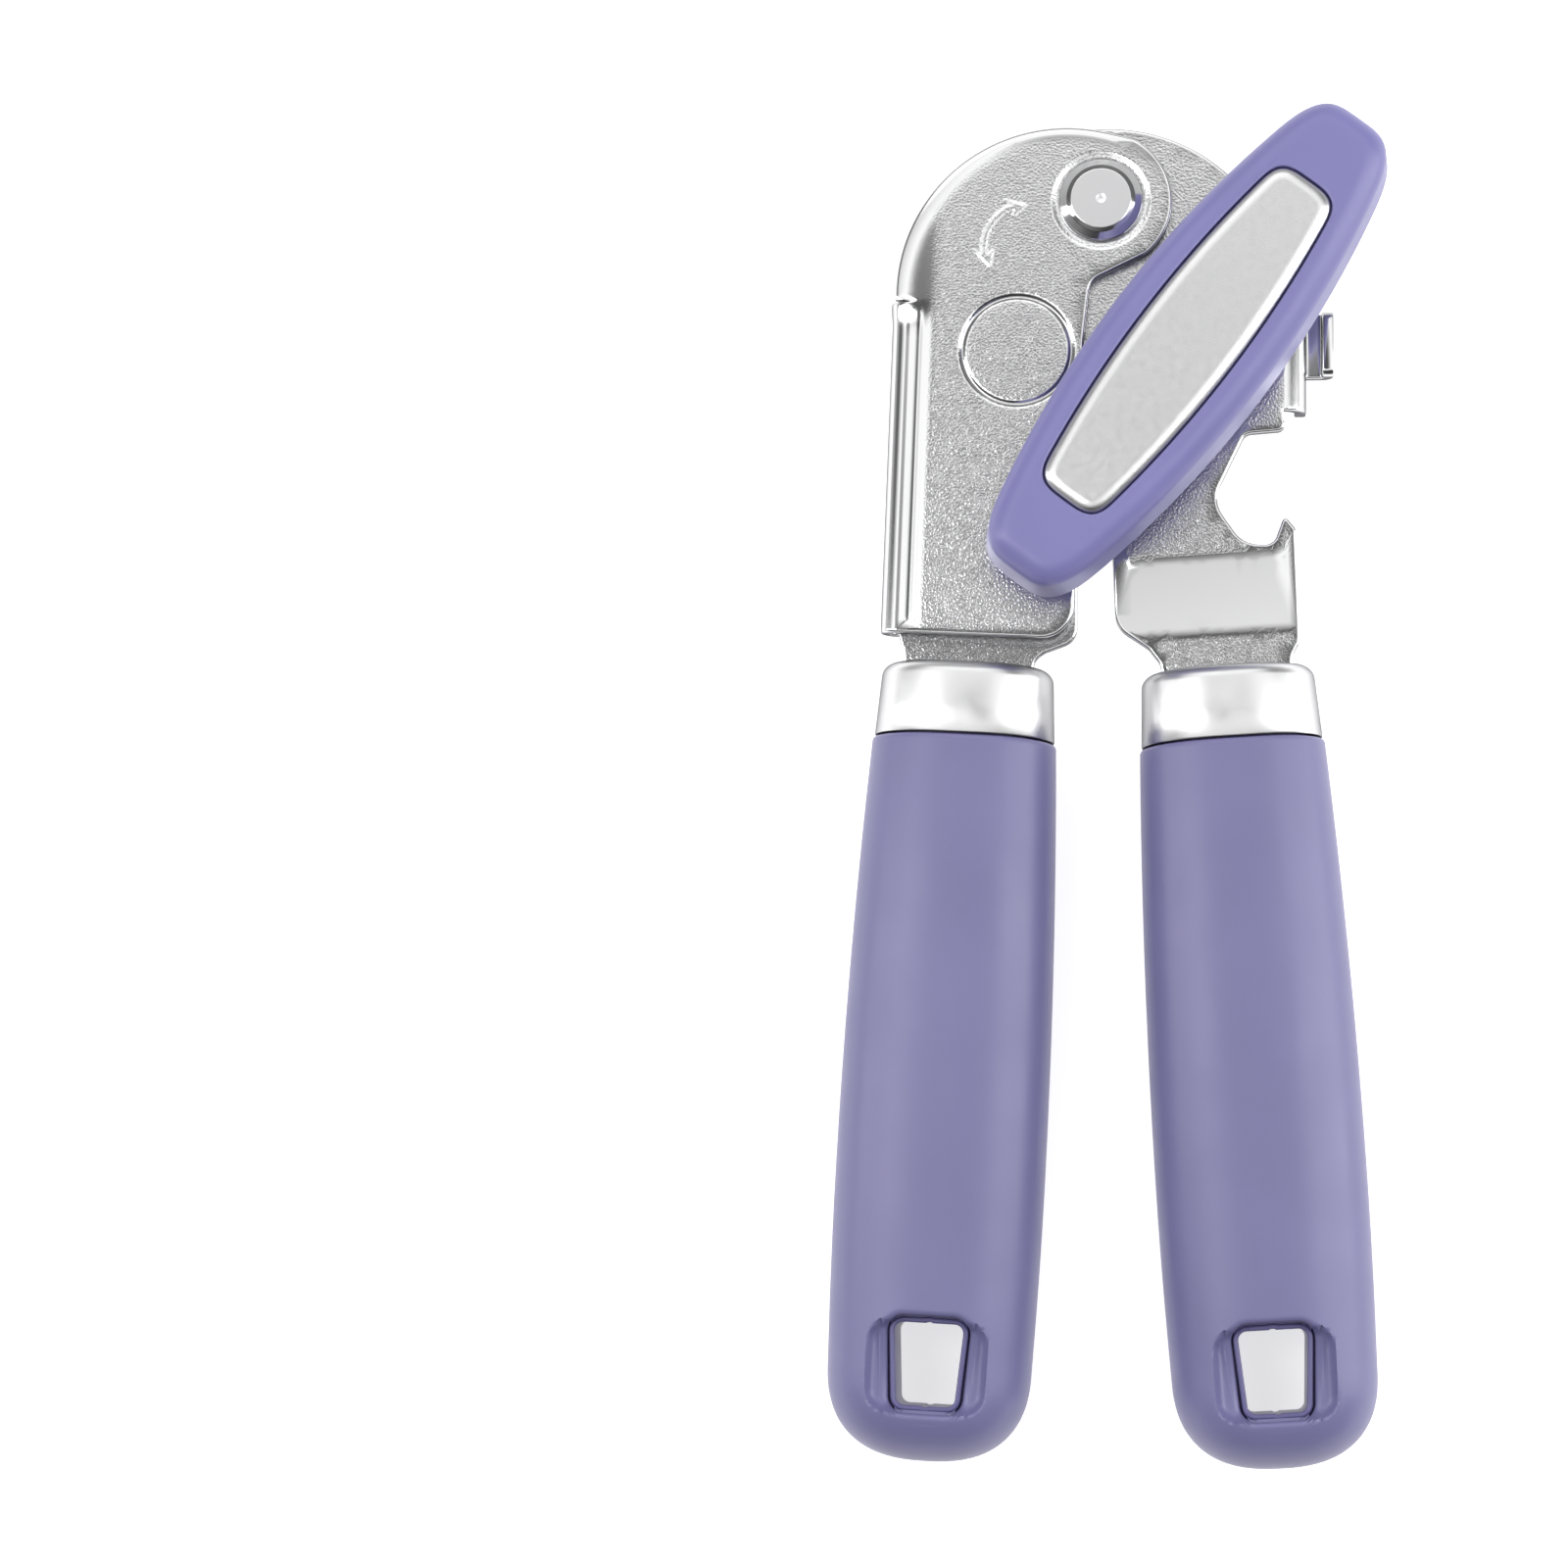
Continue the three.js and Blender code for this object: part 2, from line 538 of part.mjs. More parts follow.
// Half width of the knob or its inlay at a distance from the middle, blunt and round at the end.
function paddleHalfWidth(shape, along) {
  const side = shape.halfWidth - shape.waist * along * along;
  const tip = Math.max(0, along - shape.endStart) / (shape.half - shape.endStart);
  return side * superellipse(tip, 3.8);
}

// The closed outline, moved inwards by `inset` at right angles to its edge.
function paddleOutline(shape, inset, z) {
  const body = [0.25, 0.5, 0.75, 1].map((share) => share * shape.endStart);
  const tip = [0.35, 0.6, 0.78, 0.9, 0.96, 0.99].map(
    (share) => shape.endStart + share * (shape.half - shape.endStart));
  const quarter = [...body, ...tip].map((along) => [along, paddleHalfWidth(shape, along)]);
  const back = [...quarter].reverse();
  const outline = [[0, shape.halfWidth], ...quarter, [shape.half, 0], ...back.map(([x, y]) => [x, -y]),
    [0, -shape.halfWidth], ...quarter.map(([x, y]) => [-x, -y]), [-shape.half, 0],
    ...back.map(([x, y]) => [-x, y])];
  return outline.map(([x, y], i) => {
    const before = outline[(i + outline.length - 1) % outline.length];
    const after = outline[(i + 1) % outline.length];
    const edge = new THREE.Vector2(after[0] - before[0], after[1] - before[1]).normalize();
    return [x + inset * edge.y, y - inset * edge.x, z];
  });
}

function paddle(shape, layers) {
  return loft(layers.map(([inset, z]) => paddleOutline(shape, inset, z)));
}

const knobTop = knob.bottom + knob.height;
const inlaySeat = knobTop + inlay.proud - inlay.thick;
const hubTop = inlaySeat - GAP - knob.web - GAP;

function knobGrip() {
  const { topRadius: top, bottomRadius: low } = knob;
  const layers = [[low, knob.bottom], [low * 0.3, knob.bottom + low * 0.35], [0, knob.bottom + low],
    [knob.draft * 0.6, knobTop - top], [knob.draft + top * 0.18, knobTop - top * 0.45],
    [knob.draft + top * 0.55, knobTop - top * 0.13], [knob.draft + top, knobTop]];
  const hubRoom = paddle(knob, [[knob.shell, knob.bottom - 1], [knob.shell, hubTop + GAP]]);
  const inlayRoom = paddle(inlay, [[-GAP, inlaySeat - GAP], [-GAP, knobTop + 1]]);
  return cut(paddle(knob, layers), hubRoom, inlayRoom);
}

function knobHub() {
  const inset = knob.shell + GAP;
  const slab = paddle(knob, [[inset, knob.bottom], [inset, hubTop]]);
  const boss = disc(0, 0, drive.bushFlange, washerFront + GAP, knob.bottom + 1, ROUND);
  const shaftRoom = disc(0, 0, bore(drive.shaft), washerFront, shaftTop + GAP);
  const screwRoom = disc(0, 0, bore(knobScrew.headRadius), shaftTop + GAP, hubTop + 1);
  return cut(join(slab, boss), shaftRoom, screwRoom);
}

const knobInlay = () => paddle(inlay, [[0, inlaySeat], [0, inlaySeat + inlay.thick - 0.7],
  [0.25, inlaySeat + inlay.thick - 0.2], [0.8, inlaySeat + inlay.thick]]);

function knobScrewBody() {
  const seat = shaftTop + GAP;
  const end = shaftTop - knobScrew.length + GAP;
  return turned([[0, end], [knobScrew.radius, end], [knobScrew.radius, seat], [knobScrew.headRadius, seat],
    [knobScrew.headRadius, seat + knobScrew.headHeight], [0, seat + knobScrew.headHeight]]);
}

// ---- cutter: gear, spacer and bevelled disc, round the stud's own axis -----------------------

const cutterSpacer = () => ring(bore(cutter.stud), cutter.spacerRadius, feedBack, feedFront);
const cutterWheel = () => turned([[bore(cutter.stud), cutterBack], [cutterRadius - cutter.bevel, cutterBack],
  [cutterRadius, cutterFront - 0.15], [cutterRadius - 0.1, cutterFront], [bore(cutter.stud), cutterFront],
  [bore(cutter.stud), cutterBack]], ROUND);
const cutterWasher = () => ring(bore(cutter.stud), cutter.headRadius,
  cutterBack - GAP - cutter.washerThick, cutterBack - GAP);

function cutterStud() {
  const seat = cutterBack - GAP - cutter.washerThick - GAP;
  return turned([[0, restLevel], [cutter.headRadius - 0.5, restLevel], [cutter.headRadius, restLevel + 0.5],
    [cutter.headRadius, seat], [cutter.stud, seat], [cutter.stud, rearFront - GAP], [0, rearFront - GAP]]);
}

// ---- finishes ----------------------------------------------------------------------------

const finish = (color, roughness, metalness) => new THREE.MeshStandardMaterial({ color, roughness, metalness });
const softLavender = () => finish(0x7c7ba9, 0.55, 0);
const hardLavender = () => finish(0x62608f, 0.45, 0);
const pebbledNickel = () => finish(0xb9b9bb, 0.35, 1);
const polishedSteel = () => finish(0xd2d2d4, 0.15, 1);
const satinSteel = () => finish(0xc6c6c8, 0.3, 1);
const hardenedSteel = () => finish(0x9b9ca0, 0.3, 1);
const sinteredBronze = () => finish(0xa98a5c, 0.4, 1);

// ---- assembly ----------------------------------------------------------------------------

function piece(parent, name, geometry, material) {
  const mesh = new THREE.Mesh(geometry, material);
  mesh.name = name;
  parent.add(mesh);
}

function place(parent, { x = 0, y = 0, angle = 0 }) {
  const group = new THREE.Group();
  group.position.set(x, y, 0);
  group.rotation.z = degrees(angle);
  parent.add(group);
  return group;
}

const opener = new THREE.Group();

piece(opener, 'left_arm_plate', leftArm(), pebbledNickel());
piece(opener, 'right_arm_plate', rightArm(), pebbledNickel());
piece(opener, 'pivot_rivet', pivotRivet(), polishedSteel());
piece(opener, 'pivot_washer', pivotWasher(), satinSteel());

for (const [side, name] of [[leftSide, 'left'], [rightSide, 'right']]) {
  const group = place(opener, { ...side, angle: side.lean });
  piece(group, `${name}_ferrule`, ferruleCap(), satinSteel());
  piece(group, `${name}_handle_core`, handleCore(), hardLavender());
  piece(group, `${name}_grip`, grip(), softLavender());
  piece(group, `${name}_tang_pin`, pinBody(), satinSteel());
}

const driveGroup = place(opener, drive);
piece(driveGroup, 'shaft_bushing', shaftBushing(), sinteredBronze());
piece(driveGroup, 'thrust_washer', thrustWasher(), satinSteel());
piece(driveGroup, 'drive_spacer', driveSpacer(), satinSteel());
const gearGroup = place(driveGroup, { angle: meshAngle * 180 / Math.PI });
piece(gearGroup, 'drive_gear', spurGear(drive.shaft, 0), hardenedSteel());
piece(driveGroup, 'feed_wheel', feedWheel(), hardenedSteel());
piece(driveGroup, 'feed_nut', feedNut(), polishedSteel());

const knobGroup = place(driveGroup, { angle: knob.angle });
piece(knobGroup, 'drive_shaft', driveShaft(), satinSteel());
piece(knobGroup, 'knob_hub', knobHub(), hardLavender());
piece(knobGroup, 'knob_grip', knobGrip(), softLavender());
piece(knobGroup, 'knob_inlay', knobInlay(), satinSteel());
piece(knobGroup, 'knob_screw', knobScrewBody(), satinSteel());

const cutterGroup = place(opener, cutterAxis);
piece(cutterGroup, 'cutter_stud', cutterStud(), satinSteel());
const cutterGearGroup = place(cutterGroup, { angle: meshAngle * 180 / Math.PI + 180 });
piece(cutterGearGroup, 'cutter_gear', spurGear(cutter.stud, 0.5), hardenedSteel());
piece(cutterGroup, 'cutter_spacer', cutterSpacer(), satinSteel());
piece(cutterGroup, 'cutter_wheel', cutterWheel(), hardenedSteel());
piece(cutterGroup, 'cutter_washer', cutterWasher(), satinSteel());

// The origin is the middle of the base of the whole opener's box.
const box = new THREE.Box3().setFromObject(opener, true);
const centre = box.getCenter(new THREE.Vector3());
opener.position.set(-centre.x, -centre.y, -box.min.z);

export default opener;
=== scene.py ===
"""A hand can opener lying on its back: two nickel-plated steel arms on a rivet, soft lavender grips,
a long turning knob with a satin inlay, and behind the arms a feed wheel geared to a round cutter.

Lengths are millimetres, measured from the pivot rivet, with z = 0 in the middle of the handle tangs.
"""
import json
import math

import bmesh
import bpy
import numpy as np
from mathutils import Matrix, Vector
from mathutils.geometry import delaunay_2d_cdt


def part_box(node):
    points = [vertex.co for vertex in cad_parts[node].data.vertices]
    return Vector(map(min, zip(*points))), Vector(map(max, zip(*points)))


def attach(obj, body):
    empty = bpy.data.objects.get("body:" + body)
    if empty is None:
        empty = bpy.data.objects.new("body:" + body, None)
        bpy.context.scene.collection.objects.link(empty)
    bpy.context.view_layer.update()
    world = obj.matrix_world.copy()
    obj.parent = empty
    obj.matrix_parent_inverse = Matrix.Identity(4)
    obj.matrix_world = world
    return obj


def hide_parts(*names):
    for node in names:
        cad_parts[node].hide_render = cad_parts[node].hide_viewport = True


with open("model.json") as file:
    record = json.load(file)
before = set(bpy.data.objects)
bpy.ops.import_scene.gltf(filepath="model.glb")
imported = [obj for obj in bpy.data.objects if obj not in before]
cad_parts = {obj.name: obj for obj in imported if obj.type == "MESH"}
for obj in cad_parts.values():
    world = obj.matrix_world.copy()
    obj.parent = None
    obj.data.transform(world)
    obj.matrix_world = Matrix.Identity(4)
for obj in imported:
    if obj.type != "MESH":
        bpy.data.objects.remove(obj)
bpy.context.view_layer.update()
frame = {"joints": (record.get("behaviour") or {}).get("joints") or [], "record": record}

# ---- the studio ---------------------------------------------------------------------------
# A white table under a pale studio sky. Long soft boxes hang left, right and beyond the head, and
# the camera looks down from just below the grips, a little to the left of the opener.

MM = 0.001
joints = {joint["name"]: joint for joint in frame["joints"]}
pivot = Vector(joints["arm_pivot"]["pos_m"]) / MM

camera_place = pivot + Vector((10, -165.4, 630))
camera_tilt = 6.8
camera_turn = 4.2
camera_data = bpy.data.cameras.new("camera")
camera_data.sensor_width = 36
camera_data.lens = 94.9
camera_data.shift_x = -0.05
camera_data.clip_start = 0.01
camera = bpy.data.objects.new("camera", camera_data)
bpy.context.scene.collection.objects.link(camera)
camera.matrix_world = (
    Matrix.Translation(camera_place * MM)
    @ Matrix.Rotation(math.radians(camera_tilt), 4, "X")
    @ Matrix.Rotation(math.radians(camera_turn), 4, "Y")
)
bpy.context.scene.camera = camera
bpy.context.scene.view_settings.view_transform = "Standard"


def add_node(tree, kind, inputs=(), **settings):
    """A shader or geometry node with its settings, and with values or links for its inputs."""
    node = tree.nodes.new(kind)
    for key, value in settings.items():
        setattr(node, key, value)
    for key, value in dict(inputs).items():
        if isinstance(value, bpy.types.NodeSocket):
            tree.links.new(value, node.inputs[key])
        else:
            node.inputs[key].default_value = value
    return node


def ramp(tree, factor, stops):
    """A ramp of greys through (position, grey) stops."""
    node = add_node(tree, "ShaderNodeValToRGB", {"Fac": factor})
    while len(node.color_ramp.elements) < len(stops):
        node.color_ramp.elements.new(0.5)
    for element, (position, grey) in zip(node.color_ramp.elements, stops):
        element.position = position
        element.color = (grey, grey, grey, 1)
    return node.outputs["Color"]


sky = bpy.data.worlds.new("studio_sky")
sky.use_nodes = True
tree = sky.node_tree
tree.nodes.clear()
direction = add_node(tree, "ShaderNodeTexCoord").outputs["Generated"]
overhead = add_node(tree, "ShaderNodeVectorMath", {0: direction, 1: (-0.05, 0.087, 0.995)},
                    operation="DOT_PRODUCT").outputs["Value"]
# Dark where the camera and its boom hang above the opener, and again low down round the room.
sky_light = ramp(tree, overhead, [(0.0, 0.5), (0.25, 0.4), (0.45, 0.12), (0.7, 0.07), (0.8, 0.42),
                                  (0.95, 1.0), (0.977, 0.42), (0.992, 0.06)])
near_side = add_node(tree, "ShaderNodeVectorMath", {0: direction, 1: (0.5, -0.866, 0)},
                     operation="DOT_PRODUCT").outputs["Value"]
shade = ramp(tree, near_side, [(0.2, 1.0), (0.6, 0.3)])
sky_light = add_node(tree, "ShaderNodeVectorMath", {0: sky_light, 1: shade},
                     operation="MULTIPLY").outputs["Vector"]
background = add_node(tree, "ShaderNodeBackground", {"Color": sky_light, "Strength": 1.4})
world_out = add_node(tree, "ShaderNodeOutputWorld")
tree.links.new(background.outputs["Background"], world_out.inputs["Surface"])
bpy.context.scene.world = sky


def soft_box(name, aim, distance, width, height, brightness):
    """A rectangular lamp at `distance` metres in the direction `aim`, facing the opener."""
    lamp = bpy.data.lights.new(name, "AREA")
    lamp.shape = "RECTANGLE"
    lamp.size = width
    lamp.size_y = height
    lamp.energy = brightness * math.pi * width * height
    box = bpy.data.objects.new(name, lamp)
    bpy.context.scene.collection.objects.link(box)
    away = Vector(aim).normalized()
    box.location = away * distance
    box.rotation_mode = "QUATERNION"
    box.rotation_quaternion = away.to_track_quat("Z", "Y")


soft_box("left_soft_box", (-0.72, 0.05, 0.72), 0.75, 0.17, 1.0, 5.0)
soft_box("right_soft_box", (0.86, 0.05, 0.52), 0.75, 0.32, 1.0, 4.2)
soft_box("far_soft_box", (-0.1, 0.85, 0.75), 0.8, 0.7, 0.3, 1.2)

table_size, table_below = 5.0, 0.0002
bpy.ops.mesh.primitive_plane_add(size=table_size, location=(0, 0, -table_below))
table = bpy.context.object
table.name = "table"
paper = bpy.data.materials.new("white_table")
paper.use_nodes = True
tree = paper.node_tree
tree.nodes.clear()
matt = add_node(tree, "ShaderNodeBsdfDiffuse", {"Color": (0.86, 0.86, 0.86, 1)})
rays = add_node(tree, "ShaderNodeLightPath").outputs
seen = rays["Is Camera Ray"]
for ray in ("Is Glossy Ray", "Is Transmission Ray"):
    seen = add_node(tree, "ShaderNodeMath", {0: seen, 1: rays[ray]}, operation="MAXIMUM").outputs[0]
lift = add_node(tree, "ShaderNodeMath", {0: seen, 1: 0.65}, operation="MULTIPLY")
glow = add_node(tree, "ShaderNodeEmission", {"Color": (1, 1, 1, 1), "Strength": lift.outputs[0]})
both = add_node(tree, "ShaderNodeAddShader", {0: matt.outputs[0], 1: glow.outputs[0]})
paper_out = add_node(tree, "ShaderNodeOutputMaterial")
tree.links.new(both.outputs[0], paper_out.inputs["Surface"])
table.data.materials.append(paper)

# ---- left arm -----------------------------------------------------------------------------
# One blank of 1.8 mm steel, folded back on itself along its left edge. The front leaf is the cover
# with a pebbled face, a ring pressed into it, a raised turning arrow and a dish for the rivet; the
# rear leaf carries the cutter and narrows to the tang that the left handle is pushed on to.

SHEET = 1.8
GAP = 0.3
tang_level = SHEET / 2
rear_middle = 0.0
arm_middle = rear_middle + SHEET + GAP
leaf_middle = arm_middle + SHEET + GAP
leaf_front = leaf_middle + SHEET / 2


def arc(x, y, radius, start, end, steps):
    """Points along an arc round (x, y), from one angle to the other in degrees."""
    angles = np.radians(np.linspace(start, end, steps + 1))
    return [(x + radius * math.cos(angle), y + radius * math.sin(angle)) for angle in angles]


def rounded(corners, steps=8):
    """A closed outline whose corners (x, y, radius) are rounded; corners without a radius stay sharp."""
    outline = []
    for i, corner in enumerate(corners):
        here = Vector(corner[:2])
        if len(corner) < 3 or not corner[2]:
            outline.append(tuple(corner[:2]))
            continue
        back = (Vector(corners[i - 1][:2]) - here).normalized()
        ahead = (Vector(corners[(i + 1) % len(corners)][:2]) - here).normalized()
        half = back.angle(ahead) / 2
        centre = here + (back + ahead).normalized() * corner[2] / math.sin(half)
        start = here + back * corner[2] / math.tan(half) - centre
        end = here + ahead * corner[2] / math.tan(half) - centre
        turn = math.atan2(start.cross(end), start.dot(end))
        for step in range(steps + 1):
            outline.append(tuple(centre + Matrix.Rotation(turn * step / steps, 2) @ start))
    return outline


def inset(loop, distance):
    """The closed loop moved to its left by `distance`, which is inwards when it runs anticlockwise."""
    points = np.array(loop)
    along = np.roll(points, -1, 0) - points
    along /= np.maximum(np.linalg.norm(along, axis=1), 1e-9)[:, None]
    left = np.stack([-along[:, 1], along[:, 0]], 1)
    middle = left + np.roll(left, 1, 0)
    middle /= np.maximum(np.linalg.norm(middle, axis=1), 1e-9)[:, None]
    reach = np.maximum((middle * left).sum(1), 0.5)
    return points + middle * (distance / reach)[:, None]


def edge_distance(points, loop):
    """Distance from each point to a closed loop."""
    start = np.array(loop, float)
    step = np.roll(start, -1, 0) - start
    length2 = np.maximum((step ** 2).sum(1), 1e-12)
    nearest = np.full(len(points), 1e9)
    for first in range(0, len(points), 2000):
        part = points[first:first + 2000]
        away = part[:, None, :] - start[None]
        share = np.clip((away * step[None]).sum(2) / length2[None], 0, 1)
        gap = away - share[..., None] * step[None]
        nearest[first:first + 2000] = np.sqrt((gap ** 2).sum(2)).min(1)
    return nearest


def inside(points, loop):
    """True for each point that a closed loop goes round."""
    start = np.array(loop, float)
    end = np.roll(start, -1, 0)
    x, y = points[:, 0, None], points[:, 1, None]
    crosses = (start[None, :, 1] > y) != (end[None, :, 1] > y)
    rise = np.where(end[:, 1] == start[:, 1], 1e-12, end[:, 1] - start[:, 1])
    at = start[None, :, 0] + (y - start[None, :, 1]) * (end[:, 0] - start[:, 0])[None] / rise[None]
    return (crosses & (x < at)).sum(1) % 2 == 1


def grid(low, high, step_x, step_y):
    """Points to fill a blank with, in rows between two corners."""
    across = np.arange(low[0], high[0] + step_x / 2, step_x)
    along = np.arange(low[1], high[1] + step_y / 2, step_y)
    return np.array([(x, y) for x in across for y in along])


def blank(loops, fill, holes):
    """A flat blank inside the first loop, with the holes left out, through the other loops and points."""
    points = [Vector(point) for loop in loops for point in loop] + [Vector(point) for point in fill]
    edges = []
    first = 0
    for loop in loops:
        edges += [(first + i, first + (i + 1) % len(loop)) for i in range(len(loop))]
        first += len(loop)
    flat, _, triangles, *_ = delaunay_2d_cdt(points, edges, [], 0, 1e-7)
    flat = np.array([tuple(point) for point in flat])
    triangles = np.array([tuple(triangle) for triangle in triangles])
    middle = flat[triangles].mean(1)
    kept = inside(middle, loops[0])
    for hole in holes:
        kept &= ~inside(middle, hole)
    return flat, triangles[kept]


def rim_pairs(triangles):
    """Edges that only one triangle has, in that triangle's direction."""
    pairs = {pair: True for a, b, c in triangles.tolist() for pair in ((a, b), (b, c), (c, a))}
    return [(a, b) for a, b in pairs if (b, a) not in pairs]


def two_faced(front, back, triangles, joined=lambda a, b: True):
    """A front and a back with the same triangles, and walls between them wherever `joined` says."""
    count = len(front)
    faces = [tuple(triangle) for triangle in triangles]
    faces += [tuple(triangle[::-1] + count) for triangle in triangles]
    faces += [(b, a, a + count, b + count) for a, b in rim_pairs(triangles) if joined(a, b)]
    return np.concatenate([front, back]), faces


def piece(name, points, faces, finish, body, slot, *nodes, crease=32, attributes=()):
    """A finished piece from millimetres round the pivot: merged, faced outwards and ridden."""
    mesh = bpy.data.meshes.new(name)
    placed = (np.asarray(points, float) + np.array(pivot)) * MM
    mesh.from_pydata(placed.tolist(), [], [list(map(int, face)) for face in faces])
    for label, values in dict(attributes).items():
        layer = mesh.attributes.new(label, "FLOAT", "POINT")
        layer.data.foreach_set("value", np.asarray(values, np.float32))
    shell = bmesh.new()
    shell.from_mesh(mesh)
    bmesh.ops.remove_doubles(shell, verts=shell.verts, dist=1e-7)
    bmesh.ops.dissolve_degenerate(shell, edges=shell.edges, dist=1e-8)
    bmesh.ops.recalc_face_normals(shell, faces=shell.faces)
    shell.to_mesh(mesh)
    shell.free()
    return dress(name, mesh, finish, body, slot, *nodes, crease=crease)


def dress(name, mesh, finish, body, slot, *nodes, crease=32):
    """Gives a finished mesh its shading, material and body, and hides the CAD nodes that it stands for;
    `slot` is not used.
    """
    mesh.shade_smooth()
    mesh.set_sharp_from_angle(angle=math.radians(crease))
    made = bpy.data.objects.new(name, mesh)
    bpy.context.scene.collection.objects.link(made)
    made.data.materials.clear()
    made.data.materials.append(finish)
    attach(made, body)
    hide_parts(*nodes)
    return made


def pressed_sheet(name, outline, holes, fill, form, mark, polish, edge, finish, body, slot, node):
    """Sheet steel: a flat blank with rounded edges, coined by `mark` and bent to shape by `form`."""
    steps = [0, 0.08, 0.3, 0.65, 1, 1.5]
    loops = [inset(outline, edge * step) for step in steps]
    hole_loops = [inset(hole[::-1], edge * step) for hole in holes for step in steps]
    rims = [np.array(outline)] + [np.array(hole) for hole in holes]
    fill = np.array(fill)
    depth = np.min([edge_distance(fill, rim) for rim in rims], axis=0)
    fill = fill[inside(fill, outline) & (depth > edge * 1.5 + 0.15)]
    flat, triangles = blank(loops + hole_loops, fill, holes)
    depth = np.min([edge_distance(flat, rim) for rim in rims], axis=0)
    over = edge - np.minimum(depth, edge)
    fall = edge - np.sqrt(np.maximum(edge ** 2 - over ** 2, 0))
    front = form(flat[:, 0], flat[:, 1], SHEET / 2 - fall + mark(flat[:, 0], flat[:, 1]))
    back = form(flat[:, 0], flat[:, 1], -SHEET / 2 + fall * 0.6)
    points, faces = two_faced(front, back, triangles)
    smooth = np.where(depth < 0.02, 1.0, polish(flat[:, 0], flat[:, 1], depth))
    return piece(name, points, faces, finish, body, slot, node, crease=40,
                 attributes={"polish": np.concatenate([smooth, smooth])})


def bent(distance, path):
    """Where a strip is after `distance` along a path of ("go", length) and ("turn", degrees, radius).

    Gives how far forward it is, how far down, and its heading below level in radians.
    """
    left = np.array(distance, float)
    forward, down, heading = np.minimum(left, 0), np.zeros_like(left), np.zeros_like(left)
    left = np.maximum(left, 0)
    for kind, *sizes in path:
        turn = math.radians(sizes[0]) if kind == "turn" else 0.0
        length = abs(turn) * sizes[1] if kind == "turn" else sizes[0]
        part = np.clip(left, 0, length)
        left = left - part
        if kind == "turn":
            swing = turn * part / length
            radius = math.copysign(sizes[1], turn)
            forward = forward + radius * (np.sin(heading + swing) - np.sin(heading))
            down = down + radius * (np.cos(heading) - np.cos(heading + swing))
            heading = heading + swing
        else:
            forward = forward + part * np.cos(heading)
            down = down + part * np.sin(heading)
    return forward + left * np.cos(heading), down + left * np.sin(heading), heading


def soft_step(value, low, high):
    """Rises smoothly from 0 at `low` to 1 at `high`."""
    share = np.clip((value - low) / (high - low), 0, 1)
    return share * share * (3 - 2 * share)


def handle_place(side):
    """Where a handle's neck is, from its tang pin, and which way it runs, from its hanging hole."""
    low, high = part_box(f"{side}_tang_pin")
    pin = (low + high) / 2 / MM - pivot
    mount = [m for m in frame["record"]["mounts"] if m["name"] == f"{side}_hanging_hole_wall"][0]
    up = Vector(mount["axis"][:2]).normalized()
    return Vector((pin.x, pin.y)) + up * tang_pin_at, up


tang_pin_at = 22
left_neck, left_up = handle_place("left")
right_neck, right_up = handle_place("right")
handles = (("left", left_neck, left_up), ("right", right_neck, right_up))


def on_handle(neck, up, x, down):
    """A point `x` across a handle and `down` from its neck, seen from above."""
    point = neck + Vector((up.y, -up.x)) * x - up * down
    return point.x, point.y


tang_length, tang_shoulder, tang_top, tang_foot = 52, 13, 10.2, 6.5


def tang_corners(neck, up):
    """The tang from its left shoulder round its foot to its right shoulder."""
    return [(*on_handle(neck, up, x, down), radius) for x, down, radius in (
        (-tang_top, -tang_shoulder, 2.5), (-tang_top + 1.7, 0, 6), (-tang_foot, tang_length, 1.5),
        (tang_foot, tang_length, 1.5), (tang_top - 1.7, 0, 6), (tang_top, -tang_shoulder, 2.5))]


fold_corner = Vector((-32.5, -15.5))
fold_lean = math.radians(-1.77)
fold_length = 51.8
fold_middle = (leaf_middle - rear_middle) / 2
fold_reach = fold_middle + SHEET / 2
fold_girth = math.pi * fold_middle
fold_in = Vector((math.cos(fold_lean), math.sin(fold_lean)))
fold_down = Vector((math.sin(fold_lean), -math.cos(fold_lean)))


def by_fold(x, y):
    """Distance in from the folded edge and down along it."""
    across, along = x - fold_corner.x, y - fold_corner.y
    return across * fold_in.x + along * fold_in.y, across * fold_down.x + along * fold_down.y


def from_fold(inward, down):
    """The place that is so far in from the folded edge and down along it."""
    return (fold_corner.x + inward * fold_in.x + down * fold_down.x,
            fold_corner.y + inward * fold_in.y + down * fold_down.y)


fold_top, fold_foot = from_fold(fold_reach, 0), from_fold(fold_reach, fold_length)
dome_centre, dome_radius, ear_radius = (-5.6, -14.4), 26.2, 11
cover = rounded([*arc(0, 0, ear_radius, -50, 62, 24), *arc(*dome_centre, dome_radius, 76, 182, 60),
                 fold_top, fold_foot, (-4.2, -68.6, 5), (-2.6, -22), (-1.6, -12.6, 2.8)])
cutter_axis = Vector(joints["cutter_spin"]["pos_m"]) / MM - pivot
clear_of_shaft = cutter_axis.x + 4.5
rear = rounded([*arc(0, 0, ear_radius - 0.5, -75, 150, 32), fold_top, fold_foot,
                *tang_corners(left_neck, left_up), (-8.5, -70, 1.5), (-3.6, -68.2, 3), (-3.6, -44, 4),
                (clear_of_shaft, -38, 3), (clear_of_shaft, -20, 3)])


def on_blank(points, behind):
    """Folded places laid out flat: `across` is 0 where the fold starts and negative past it."""
    flat = []
    for x, y in points:
        inward, down = by_fold(x, y)
        across = -fold_girth - (inward - fold_reach) if behind else inward - fold_reach
        flat.append((across, down))
    return flat


